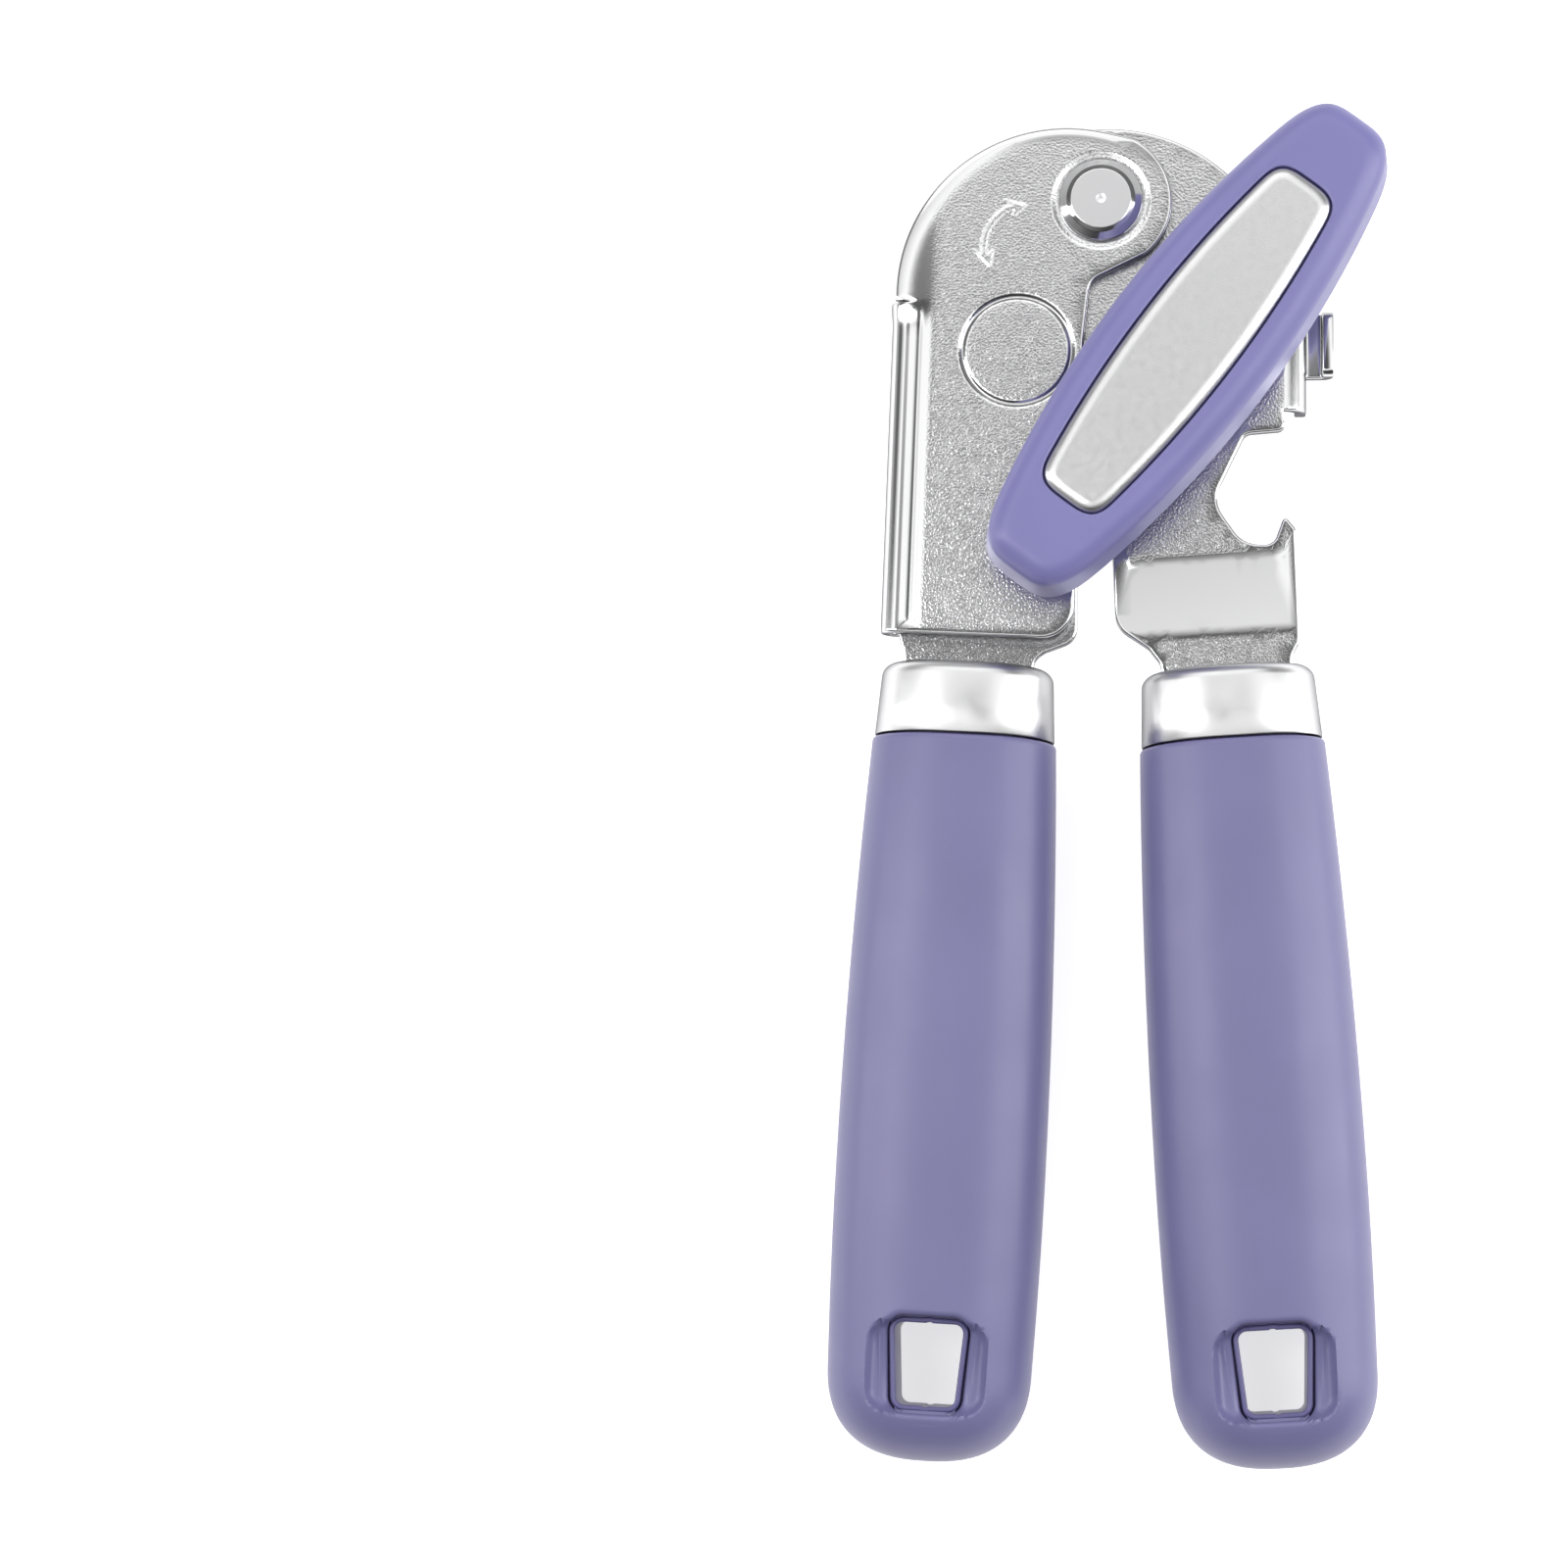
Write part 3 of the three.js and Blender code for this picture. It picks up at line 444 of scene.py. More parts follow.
cut_at = cover.index(fold_top)
rear_from = rear.index(fold_foot)
round_rear = (rear[rear_from:] + rear[:rear_from])[::-1]
bend_steps = np.linspace(0, -fold_girth, 25)[1:-1]
left_blank = (on_blank(cover[:cut_at + 1], False) + [(step, 0) for step in bend_steps]
              + on_blank(round_rear, True) + [(step, fold_length) for step in bend_steps[::-1]]
              + on_blank(cover[cut_at + 1:], False))[::-1]
rivet_hole = arc(0, 0, 4.3, 0, 352.5, 47)
stud_hole = arc(cutter_axis.x, cutter_axis.y, 2.8, 0, 350, 35)
left_pin_hole = arc(*on_handle(left_neck, left_up, 0, tang_pin_at), 1.8, 0, 345, 23)
left_holes = [on_blank(rivet_hole, False)[::-1], on_blank(rivet_hole, True), on_blank(stud_hole, True),
              on_blank(left_pin_hole, True)]

dish_radius, dish_depth = 7.9, 0.28
ring_centre, ring_radius, ring_depth = (-12.95, -23.5), 8.45, 0.3
arrow_centre, arrow_radius, arrow_height = (-11.2, -7.3), 6.9, 0.11
arrow_start, arrow_end = 92, 208
ring_fill = [point for radius in (7.6, 7.85, 8.05, 8.2, 8.35, 8.5, 8.65, 8.85, 9.1, 9.4)
             for point in arc(*ring_centre, radius, 0, 357, 119)]
dish_fill = [point for radius in (6.6, 6.9, 7.1, 7.35, 7.6, 7.8, 7.95, 8.1, 8.4)
             for point in arc(0, 0, radius, 0, 357, 119)]
rim_fill = [point for depth in (1.0, 1.4, 1.8, 2.2, 2.7, 3.2, 3.8) for point in arc(
    *dome_centre, dome_radius - depth, 70, 184, 90)]


def arrow_shape():
    """A bow with a barbed head at each end, running round `arrow_centre`."""
    head, half_width, bow = 3.0, 1.55, 0.42
    turn = math.degrees(head / arrow_radius)
    outer = arc(*arrow_centre, arrow_radius + bow, arrow_start + turn * 0.75, arrow_end - turn * 0.75, 24)
    inner = arc(*arrow_centre, arrow_radius - bow, arrow_end - turn * 0.75, arrow_start + turn * 0.75, 24)

    def head_points(angle, back):
        tip = arc(*arrow_centre, arrow_radius - 0.25, angle, angle, 1)[:1]
        out = arc(*arrow_centre, arrow_radius + half_width, angle + back, angle + back, 1)[:1]
        within = arc(*arrow_centre, arrow_radius - half_width, angle + back, angle + back, 1)[:1]
        return out, tip, within

    far_out, far_tip, far_in = head_points(arrow_end, -turn)
    near_out, near_tip, near_in = head_points(arrow_start, turn)
    return outer + far_out + far_tip + far_in + inner + near_in + near_tip + near_out


arrow = arrow_shape()
arrow_box = np.array(arrow)
arrow_fill = grid(arrow_box.min(0) - 0.6, arrow_box.max(0) + 0.6, 0.22, 0.22)
bend_fill = [(step, down) for step in bend_steps for down in np.arange(0.4, fold_length - 0.5, 1.3)]
near_fold = np.concatenate([grid((0.0, 0.4), (3.4, fold_length - 0.5), 0.2, 1.3),
                            grid((3.8, 0.4), (8, fold_length - 0.5), 0.8, 1.3)])
cover_fill = np.concatenate([grid((8.5, -30), (48, 56), 2.3, 2.3), grid((0.4, -14), (8, -0.6), 0.9, 0.9)])
rear_fill = grid((-60, -30), (-fold_girth, 110), 2.6, 2.6)


def left_mark(across, down):
    """Coining of the cover's face: rivet dish, pressed ring, raised arrow and the rolled rim."""
    x, y = (np.array(axis) for axis in from_fold(across + fold_reach, down))
    on_cover = (across > -0.01) | (down < -0.05)
    from_rivet = np.hypot(x, y)
    dish = -dish_depth * (1 - soft_step(from_rivet, dish_radius - 1.1, dish_radius))
    from_ring = np.hypot(x - ring_centre[0], y - ring_centre[1])
    ring = -ring_depth * np.exp(-((from_ring - ring_radius) / 0.34) ** 2)
    ring = ring - 0.07 * (1 - soft_step(from_ring, ring_radius - 0.3, ring_radius + 0.3))
    raised = np.zeros_like(x)
    near = (np.abs(x - arrow_centre[0] + 4) < 9) & (np.abs(y - arrow_centre[1]) < 10) & on_cover
    spots = np.stack([x[near], y[near]], 1)
    depth = edge_distance(spots, arrow) * np.where(inside(spots, arrow), 1, -1)
    raised[near] = arrow_height * soft_step(depth, -0.22, 0.22)
    angle = np.degrees(np.arctan2(y - dome_centre[1], x - dome_centre[0])) % 360
    from_rim = dome_radius - np.hypot(x - dome_centre[0], y - dome_centre[1])
    rolled = soft_step(angle, 92, 150) * (y > fold_corner.y - 0.2)
    roll = -0.5 * rolled * np.clip(1 - from_rim / 3.4, 0, 1) ** 2
    on_dome = (angle > 70) & (y > fold_corner.y - 0.2)
    roll = roll - 0.3 * (1 - rolled) * np.clip(1 - from_rim / 1.3, 0, 1) ** 2 * on_dome
    ironed = -0.14 * (3.6 - np.clip(across, 0, 3.6)) * np.clip(1 + across / fold_girth, 0, 1)
    ironed = (ironed - 0.06 * np.exp(-((across - 1.7) / 0.28) ** 2)) * soft_step(down, 0.0, 4.0)
    return np.where(on_cover, dish + ring + raised + roll, 0) + ironed


def left_form(across, down, height):
    """Wraps the blank round the fold, `height` off its middle surface."""
    past = np.where((down < -0.05) & (across > -fold_girth / 2), 0, np.maximum(-across, 0))
    forward, fall, heading = bent(past, [("turn", 180, fold_middle)])
    inward = across + past + fold_reach - forward - height * np.sin(heading)
    x, y = from_fold(inward, down)
    return np.stack([x, y, leaf_middle - fall + height * np.cos(heading)], 1)


def left_polish(across, down, depth):
    """The face is smooth along the fold and the rolled rim, and pebbled elsewhere."""
    x, y = (np.array(axis) for axis in from_fold(across + fold_reach, down))
    from_rim = dome_radius - np.hypot(x - dome_centre[0], y - dome_centre[1])
    on_rim = 1 - soft_step(from_rim, 1.4, 3.6)
    along_fold = 1 - soft_step(across + fold_reach, 5.6, 7.6)
    from_ring = np.hypot(x - ring_centre[0], y - ring_centre[1])
    pressed = 1 - soft_step(np.abs(from_ring - ring_radius), 0.3, 0.7)
    smooth = np.maximum(np.maximum(along_fold, pressed * 0.8), 1 - soft_step(depth, 0.4, 0.9))
    smooth = np.maximum(smooth, np.where(y > fold_corner.y, on_rim, 0))
    return np.where((across < -fold_girth) & (down > -0.05), 0.35, smooth)


def speckle(tree, scale, detail):
    """Noise that is fixed to the piece itself."""
    place = add_node(tree, "ShaderNodeTexCoord").outputs["Object"]
    return add_node(tree, "ShaderNodeTexNoise", {"Vector": place, "Scale": scale,
                                                 "Detail": detail}).outputs["Fac"]


def wear(tree, scale, low, high):
    """A cloudy value between low and high."""
    spread = add_node(tree, "ShaderNodeMapRange", {"Value": speckle(tree, scale, 4.0), "To Min": low,
                                                   "To Max": high, "From Min": 0.3, "From Max": 0.7})
    return spread.outputs["Result"]


def raise_skin(tree, shader, height, strength, distance):
    """Gives a finish its fine relief."""
    bump = add_node(tree, "ShaderNodeBump", {"Height": height, "Strength": strength,
                                             "Distance": distance})
    tree.links.new(bump.outputs["Normal"], shader.inputs["Normal"])


def new_finish(name, colour, roughness, metallic, worn=None, **sockets):
    """A material, its node tree and its shader; `worn` clouds the roughness by scale, low and high."""
    finish = bpy.data.materials.new(name)
    finish.use_nodes = True
    shader = finish.node_tree.nodes["Principled BSDF"]
    shader.inputs["Base Color"].default_value = (*colour, 1)
    shader.inputs["Roughness"].default_value = roughness
    shader.inputs["Metallic"].default_value = metallic
    for socket, value in sockets.items():
        shader.inputs[socket.replace("_", " ")].default_value = value
    if worn:
        finish.node_tree.links.new(wear(finish.node_tree, *worn), shader.inputs["Roughness"])
    return finish, finish.node_tree, shader


dark_edge = (0.15, 0.15, 0.16, 1)       # how little of the light glancing off the metal is kept


def pebbled_nickel():
    """Bright nickel over a face rolled with fine pebbles; `polish` says where it is smooth."""
    finish, tree, shader = new_finish("pebbled_nickel", (0.74, 0.74, 0.745), 0.2, 1.0,
                                     Specular_Tint=dark_edge)
    smooth = add_node(tree, "ShaderNodeAttribute", attribute_name="polish").outputs["Fac"]
    pebbled = add_node(tree, "ShaderNodeMath", {0: 1.0, 1: smooth}, operation="SUBTRACT")
    height = add_node(tree, "ShaderNodeMath", {0: speckle(tree, 2800.0, 1.0), 1: pebbled.outputs[0]},
                      operation="MULTIPLY")
    raise_skin(tree, shader, height.outputs[0], 0.75, 0.00007)
    cloudy = wear(tree, 500.0, 0.2, 0.24)
    mixed = add_node(tree, "ShaderNodeMapRange", {"Value": smooth, "To Min": cloudy, "To Max": 0.12})
    tree.links.new(mixed.outputs["Result"], shader.inputs["Roughness"])
    return finish


nickel = pebbled_nickel()
pressed_sheet(
    "left_arm", left_blank, left_holes,
    np.concatenate([on_blank(ring_fill, False), on_blank(dish_fill, False), on_blank(rim_fill, False),
                    on_blank(arrow_fill, False), bend_fill, near_fold, cover_fill, rear_fill]),
    left_form, left_mark, left_polish, 0.4, nickel, "left_arm", "pebbled_nickel", "left_arm_plate")

# ---- right arm ----------------------------------------------------------------------------
# Stamped from the same sheet and nickel-plated. Its head turns between the two leaves, its right
# edge is turned back with a small lipped tab, the hooked notch lifts bottle caps, and a smooth
# step brings the sheet down to the level of the right tang.

edge_x = 28
right_dome, right_radius = (1, -15), 27
flange_top, flange_foot, tab_top, tab_foot = -15, -32.7, -15.9, -26.1
edge_bend = 2.7
flange_path = [("turn", 90, edge_bend), ("go", 3.9), ("turn", -90, 1.3), ("go", 1.9),
               ("turn", -90, 1.2), ("go", 1.9)]
flange_width = math.pi / 2 * edge_bend + 2.9
tab_width = math.pi / 2 * (edge_bend + 1.3 + 1.2) + 3.9 + 1.9 + 1.9
bottle_notch = [(28.4, -35.9, 1.2), (22.2, -36.4, 1.6), (17.2, -46.8, 4.6), (21.8, -53.5, 4.6),
                (26.4, -53.7, 1.8), (28.1, -49, 0.6), (29.9, -51.2, 1.4)]
edge_steps = np.linspace(0, flange_width, 16)[1:-1]
tab_steps = np.linspace(flange_width, tab_width, 24)[1:-1]


def on_right(x, down, radius):
    """A rounded corner, placed across and down the right handle."""
    return (*on_handle(right_neck, right_up, x, down), radius)


right_outline = rounded(
    arc(*right_dome, right_radius, 0, 99, 48) + arc(0, 0, 12.2, 112, 190, 20)
    + [(-9.5, -36, 6), (1.5, -50, 5), on_right(-16.6, -19, 4), on_right(-tang_top - 1.6, -15.4, 2)]
    + tang_corners(right_neck, right_up) + [on_right(11.4, -15, 1.8), (30.5, -66)]
    + bottle_notch[::-1]
    + [(edge_x, flange_foot)] + [(edge_x + step, flange_foot) for step in edge_steps]
    + [(edge_x + flange_width, flange_foot, 0.8), (edge_x + flange_width, tab_foot)]
    + [(edge_x + step, tab_foot) for step in tab_steps]
    + [(edge_x + tab_width, tab_foot, 1.2), (edge_x + tab_width, tab_top, 1.2)]
    + [(edge_x + step, tab_top) for step in tab_steps[::-1]]
    + [(edge_x + flange_width, tab_top), (edge_x + flange_width, flange_top, 0.8)]
    + [(edge_x + step, flange_top) for step in edge_steps[::-1]])
drive_axis = Vector(joints["knob_spin"]["pos_m"]) / MM - pivot
right_holes = [rivet_hole, arc(drive_axis.x, drive_axis.y, 4.9, 0, 352.5, 47),
               arc(*on_handle(right_neck, right_up, 0, tang_pin_at), 1.8, 0, 345, 23)]
step_start, step_end = -29.3, -16.7
step_bend = 1.3


def soft_ramp(value, softness):
    """Zero below 0 and rising one for one above it, with the corner eased over +-softness."""
    eased = (value + softness) ** 2 / (4 * softness)
    return np.where(value < -softness, 0, np.where(value > softness, value, eased))


def along_right(x, y):
    """How far down the right handle a place is from its neck."""
    return -((x - right_neck.x) * right_up.x + (y - right_neck.y) * right_up.y)


def right_form(x, y, height):
    """Turns the edge strip back and steps the sheet down, `height` off its middle surface."""
    turned_back = (x > edge_x) & (y > flange_foot - 0.5)
    past = np.where(turned_back, x - edge_x, 0)
    forward, fall, heading = bent(past, flange_path)
    along = along_right(x, y)
    ramp_share = (soft_ramp(along - step_start, step_bend) - soft_ramp(along - step_end, step_bend)) / (
        step_end - step_start)
    level = arm_middle + (rear_middle - arm_middle) * ramp_share
    out = np.where(turned_back, edge_x + forward + height * np.sin(heading), x)
    return np.stack([out, y, level - fall + height * np.cos(heading)], 1)


def right_polish(x, y, depth):
    """Smooth on the step, the turned edge and the tab; pebbled on the head and the tang."""
    along = along_right(x, y)
    on_step = soft_step(along, step_start - 0.5, step_start + 0.3) * (
        1 - soft_step(along, step_end - 0.3, step_end + 0.5))
    on_edge = soft_step(x, edge_x - 0.6, edge_x + 0.4) * (y > flange_foot - 1)
    return np.maximum(np.maximum(on_step, on_edge), 1 - soft_step(depth, 0.4, 0.8))


step_fill = [on_handle(right_neck, right_up, x, down) for x in np.arange(-18, 18, 2.0)
             for down in np.concatenate([np.arange(step_start - 1.6, step_start + 1.8, 0.3),
                                         np.arange(step_end - 1.6, step_end + 1.8, 0.3)])]
edge_fill = grid((edge_x, flange_foot), (edge_x + tab_width, flange_top), 0.45, 1.4)
arm_fill = grid((-14, -140), (edge_x - 1, 14), 2.7, 2.7)
pressed_sheet("right_arm", right_outline, right_holes, np.concatenate([step_fill, edge_fill, arm_fill]),
              right_form, lambda x, y: 0.0, right_polish, 0.35, nickel, "right_arm", "pebbled_nickel",
              "right_arm_plate")

# ---- pivot rivet --------------------------------------------------------------------------
# A polished steel rivet through both arms, with a turned head and a flat satin face that keeps the
# mark of the punch. A steel washer spreads its tail against the rear leaf.


def held(outline):
    """The outline with a point near each end of every long stretch, so that flats are shaded flat."""
    points = []
    for here, there in zip(outline, outline[1:] + outline[:1]):
        points.append(here)
        length = math.dist(here, there)
        if length > 0.6:
            points += [tuple(a + (b - a) * share for a, b in zip(here, there))
                       for share in (0.12 / length, 1 - 0.12 / length)]
    return points


def turned(name, corners, axis, finish, body, slot, *nodes, steps=128, crease=32):
    """A piece turned round an upright axis from half its section, corners (radius, z, rounding)."""
    outline = held(rounded(corners, 5))
    rings = [[(axis[0] + radius * math.cos(turn), axis[1] + radius * math.sin(turn), z)
              for turn in np.linspace(0, math.tau, steps, endpoint=False)] for radius, z in outline]
    points = [point for ring in rings for point in ring]
    faces = []
    for i in range(len(rings)):
        here, there = i * steps, (i + 1) % len(rings) * steps
        if outline[i][0] < 1e-6 and outline[(i + 1) % len(rings)][0] < 1e-6:
            continue
        faces += [(here + j, here + (j + 1) % steps, there + (j + 1) % steps, there + j)
                  for j in range(steps)]
    return piece(name, points, faces, finish, body, slot, *nodes, crease=crease,
                 attributes={"from_axis": [radius for radius, _ in outline for _ in range(steps)]})


def polished_steel():
    """Bright polish, with a satin face where the punch has set the head."""
    finish, tree, shader = new_finish("polished_steel", (0.8, 0.8, 0.81), 0.1, 1.0,
                                     Specular_Tint=dark_edge)
    from_axis = add_node(tree, "ShaderNodeAttribute", attribute_name="from_axis").outputs["Fac"]
    face = add_node(tree, "ShaderNodeMapRange", {"Value": from_axis, "From Min": 4.5, "From Max": 4.8,
                                                 "To Min": 0.3, "To Max": wear(tree, 900.0, 0.07, 0.16)})
    tree.links.new(face.outputs["Result"], shader.inputs["Roughness"])
    return finish


def satin_steel(name, scale=1400.0, rough=0.3):
    """Steel rubbed with fine abrasive: a soft even sheen with faint short scratches."""
    finish, tree, shader = new_finish(name, (0.78, 0.78, 0.785), rough, 1.0,
                                     (180.0, rough - 0.04, rough + 0.05), Specular_Tint=dark_edge)
    raise_skin(tree, shader, speckle(tree, scale, 3.0), 0.12, 0.00005)
    return finish


polish, satin = polished_steel(), satin_steel("satin_steel")
head_seat = leaf_front - dish_depth + GAP
head_top = head_seat + 1.6
tail_seat = rear_middle - SHEET / 2 - GAP * 2 - 0.8
turned("pivot_rivet_head", [
    (0, head_top - 0.1), (0.5, head_top - 0.1), (0.75, head_top), (4.6, head_top, 0.25),
    (5.3, head_top - 0.35, 0.6), (6.3, head_seat + 0.5, 0.5), (6.7, head_seat, 0.15), (4, head_seat),
    (4, tail_seat), (5.8, tail_seat, 0.3), (4.8, tail_seat - 1.3, 0.6), (0, tail_seat - 1.3)],
       (0, 0), polish, "left_arm", "polished_steel", "pivot_rivet")
turned("pivot_spring_washer", [(4.3, tail_seat + 0.3), (7.6, tail_seat + 0.3, 0.2),
                               (7.6, tail_seat + 1.1, 0.2), (4.3, tail_seat + 1.1)],
       (0, 0), satin, "left_arm", "satin_steel", "pivot_washer")

# ---- ferrules -----------------------------------------------------------------------------
# A drawn cap of satin steel on the neck of each handle, oval in section and rounded over at the
# top, with a slot that the tang passes through.

ferrule_length, ferrule_wall, ferrule_round = 11.2, 0.8, 2.0
ferrule_wide, ferrule_wide_top, ferrule_deep, ferrule_deep_top = 13.85, 13.15, 10.2, 9.7


def section_point(turn):
    """A handle's section, nearly flat front and back and round at the sides.

    Gives shares of the half width and half depth, for turns from -1 (left side) to 1 (right side).
    """
    across = np.sin(math.pi / 2 * np.abs(turn))
    return np.sign(turn) * across, np.sqrt(np.maximum(1 - across ** 3, 0))


def oval(half_width, half_depth, steps=64):
    """The section's outline from the middle of the front, all the way round."""
    across, up = section_point(np.linspace(-1, 1, steps + 1))
    front = list(zip(across * half_width, up * half_depth))
    return front + [(x, -z) for x, z in front[-2:0:-1]]


def loft(rings, looped=False):
    """Points and faces of rings skinned together; capped at both ends unless the rings loop."""
    count = len(rings[0])
    points = [point for ring in rings for point in ring]
    faces = []
    for i in range(len(rings) if looped else len(rings) - 1):
        here, there = i * count, (i + 1) % len(rings) * count
        faces += [(here + j, here + (j + 1) % count, there + (j + 1) % count, there + j)
                  for j in range(count)]
    if not looped:
        faces += [tuple(range(count))[::-1], tuple(range(len(points) - count, len(points)))]
    return points, faces


def seat_on_handle(points, neck, up):
    """Turns points (across, down the handle, z) into place round the pivot."""
    points = np.array(points, float)
    across, down = points[:, 0], points[:, 1]
    x = neck.x + across * up.y - down * up.x
    y = neck.y - across * up.x - down * up.y
    return np.stack([x, y, points[:, 2]], 1)


def ferrule_ring(down, drawn_in):
    """The ferrule's outline at `down`, moved in by `drawn_in`."""
    share = -down / ferrule_length
    wide = ferrule_wide + (ferrule_wide_top - ferrule_wide) * share
    deep = ferrule_deep + (ferrule_deep_top - ferrule_deep) * share
    return [(x, down, z) for x, z in oval(wide - drawn_in, deep - drawn_in)]


def ferrule_slot(down):
    """The slot that the tang passes through."""
    reach, half = tang_top - 1.7 - down * 0.13 + GAP, SHEET / 2 + GAP
    return [(max(-reach, min(reach, x)), down, max(-half, min(half, z)))
            for x, _, z in ferrule_ring(down, 0)]


def ferrule(side, neck, up):
    top = -ferrule_length
    bend = np.radians([90, 80, 68, 56, 45, 34, 22, 11, 0])
    rings = [ferrule_slot(top + ferrule_wall), ferrule_slot(top)]
    rings += [ferrule_ring(top, ferrule_round + extra) for extra in (3.5, 0.6)]
    rings += [ferrule_ring(top + ferrule_round * (1 - math.sin(a)), ferrule_round * (1 - math.cos(a)))
              for a in bend]
    rings += [ferrule_ring(down, 0) for down in (top * 0.4, -0.25)]
    rings += [ferrule_ring(-0.05, 0.12), ferrule_ring(0, 0.3), ferrule_ring(0, ferrule_wall)]
    inner = ferrule_round - ferrule_wall
    rings += [ferrule_ring(top + ferrule_round - inner * math.sin(a), ferrule_round - inner * math.cos(a))
              for a in bend[::-1]]
    points, faces = loft(rings, looped=True)
    piece(f"{side}_ferrule_cap", seat_on_handle(points, neck, up), faces, brushed, f"{side}_arm",
          "satin_steel", f"{side}_ferrule", crease=35)


brushed = satin_steel("ferrule_satin", 4000.0, 0.33)
for side, neck, up in handles:
    ferrule(side, neck, up)

# ---- grips and their cores ----------------------------------------------------------------
# A hard core moulded round each tang carries a soft-touch sleeve. Near the tip the sleeve is scooped
# on both faces round a four-sided hanging hole, which a thin collar of the core lines.

grip_length, grip_wall, grip_widest, tip_length = 109.7, 2.2, 66, 14.7
grip_wide, neck_wide, end_wide, grip_deep, neck_deep = 15.95, 14.1, 15.45, 11, 10.4
hole_foot = grip_length - 8.4
hole_top = hole_foot - 12.3
hole_half_top, hole_half_foot, hole_corner, lining = 5.25, 4.35, 1.3, 0.8
scoop_half, scoop_top, scoop_foot, scoop_corner = 9.6, hole_top - 0.6, hole_foot + 1.6, 3.6
scoop_floor = 8.0
tip_start = grip_length - tip_length


def tip_curve(share, power):
    """Falls from 1 to 0 along a rounded tip; a higher power makes it blunter."""
    return np.maximum(0, 1 - np.clip(share, 0, 1) ** power) ** (1 / power)


def grip_half_width(down):
    rise = np.clip((grip_widest - down) / grip_widest, 0, 1)
    fall = np.clip((down - grip_widest) / (tip_start - grip_widest), 0, 1)
    side = grip_wide - (grip_wide - neck_wide) * rise ** 2 - (grip_wide - end_wide) * fall ** 2
    return side * tip_curve((down - tip_start) / tip_length, 2.5)


def grip_half_depth(down):
    neck = neck_deep + (grip_deep - neck_deep) * np.clip(down / 20, 0, 1)
    return neck * tip_curve((down - grip_length + grip_deep) / grip_deep, 2.2)


def turn_at(across):
    """The section turn whose point is that share of the half width across."""
    return np.sign(across) * np.arcsin(np.clip(np.abs(across), 0, 1)) / (math.pi / 2)


def hole_outline(extra):
    """The hanging hole as (across, down), with a small moulding nick in the middle of its ends."""
    nick = 0.55
    top, foot = hole_top - extra, hole_foot + extra
    half_top, half_foot = hole_half_top + extra, hole_half_foot + extra
    corner = hole_corner + extra
    ends = [(-nick, nick), (-nick * 0.5, nick * 0.45), (0, nick * 0.35)] if extra <= 0 else []
    notch_top = [(sign * x, top - nick * 0.5 + y * 0.5) for sign, (x, y) in
                 [(1, e) for e in ends] + [(-1, e) for e in ends[-2::-1]]]
    notch_foot = [(-x, foot + top - y) for x, y in notch_top]
    return rounded([(-half_top, top, corner), *notch_top, (half_top, top, corner),
                    (half_foot, foot, corner), *notch_foot, (-half_foot, foot, corner)], 6)


def signed_distance(points, loop):
    """Distance to a loop, negative inside it."""
    return edge_distance(points, loop) * np.where(inside(points, loop), -1, 1)


scoop_outline = rounded([(x, y, scoop_corner) for x, y in (
    (-scoop_half, scoop_top), (scoop_half, scoop_top), (scoop_half, scoop_foot),
    (-scoop_half, scoop_foot))], 10)
turn_width = 22.0                       # how wide half a section lies on the flat blank
grip_start = 0.3


def grip_surface(turn, down):
    """The sleeve's front: (across, down, z) with the scoop pressed in and the neck edge eased."""
    across, up = section_point(turn)
    eased = 0.55
    lip = eased - np.sqrt(np.maximum(eased ** 2 - np.clip(grip_start + eased - down, 0, eased) ** 2, 0))
    x = (grip_half_width(down) - lip) * across
    z = (grip_half_depth(down) - lip) * up
    edge = signed_distance(np.stack([x, down], 1), scoop_outline)
    wall = scoop_floor + 3.6 * soft_ramp(edge + 1.1, 0.8)
    blend = 0.55
    mix = np.clip(0.5 + 0.5 * (wall - z) / blend, 0, 1)
    z = wall * (1 - mix) + z * mix - blend * mix * (1 - mix)
    return np.stack([x, down, z], 1)


def surface_normals(turn, down):
    """Outward normals of the sleeve's front, from small steps along it."""
    step_turn, step_down = 0.004, 0.05
    low = np.clip(down - step_down, None, grip_length - 0.12)
    sideways = (grip_surface(np.minimum(turn + step_turn, 1), down)
                - grip_surface(np.maximum(turn - step_turn, -1), down))
    lengthways = grip_surface(turn, low + step_down * 2) - grip_surface(turn, low)
    normal = np.cross(lengthways, sideways)
    normal /= np.maximum(np.linalg.norm(normal, axis=1), 1e-9)[:, None]
    return normal * np.where(normal[:, 2:] < 0, -1, 1)


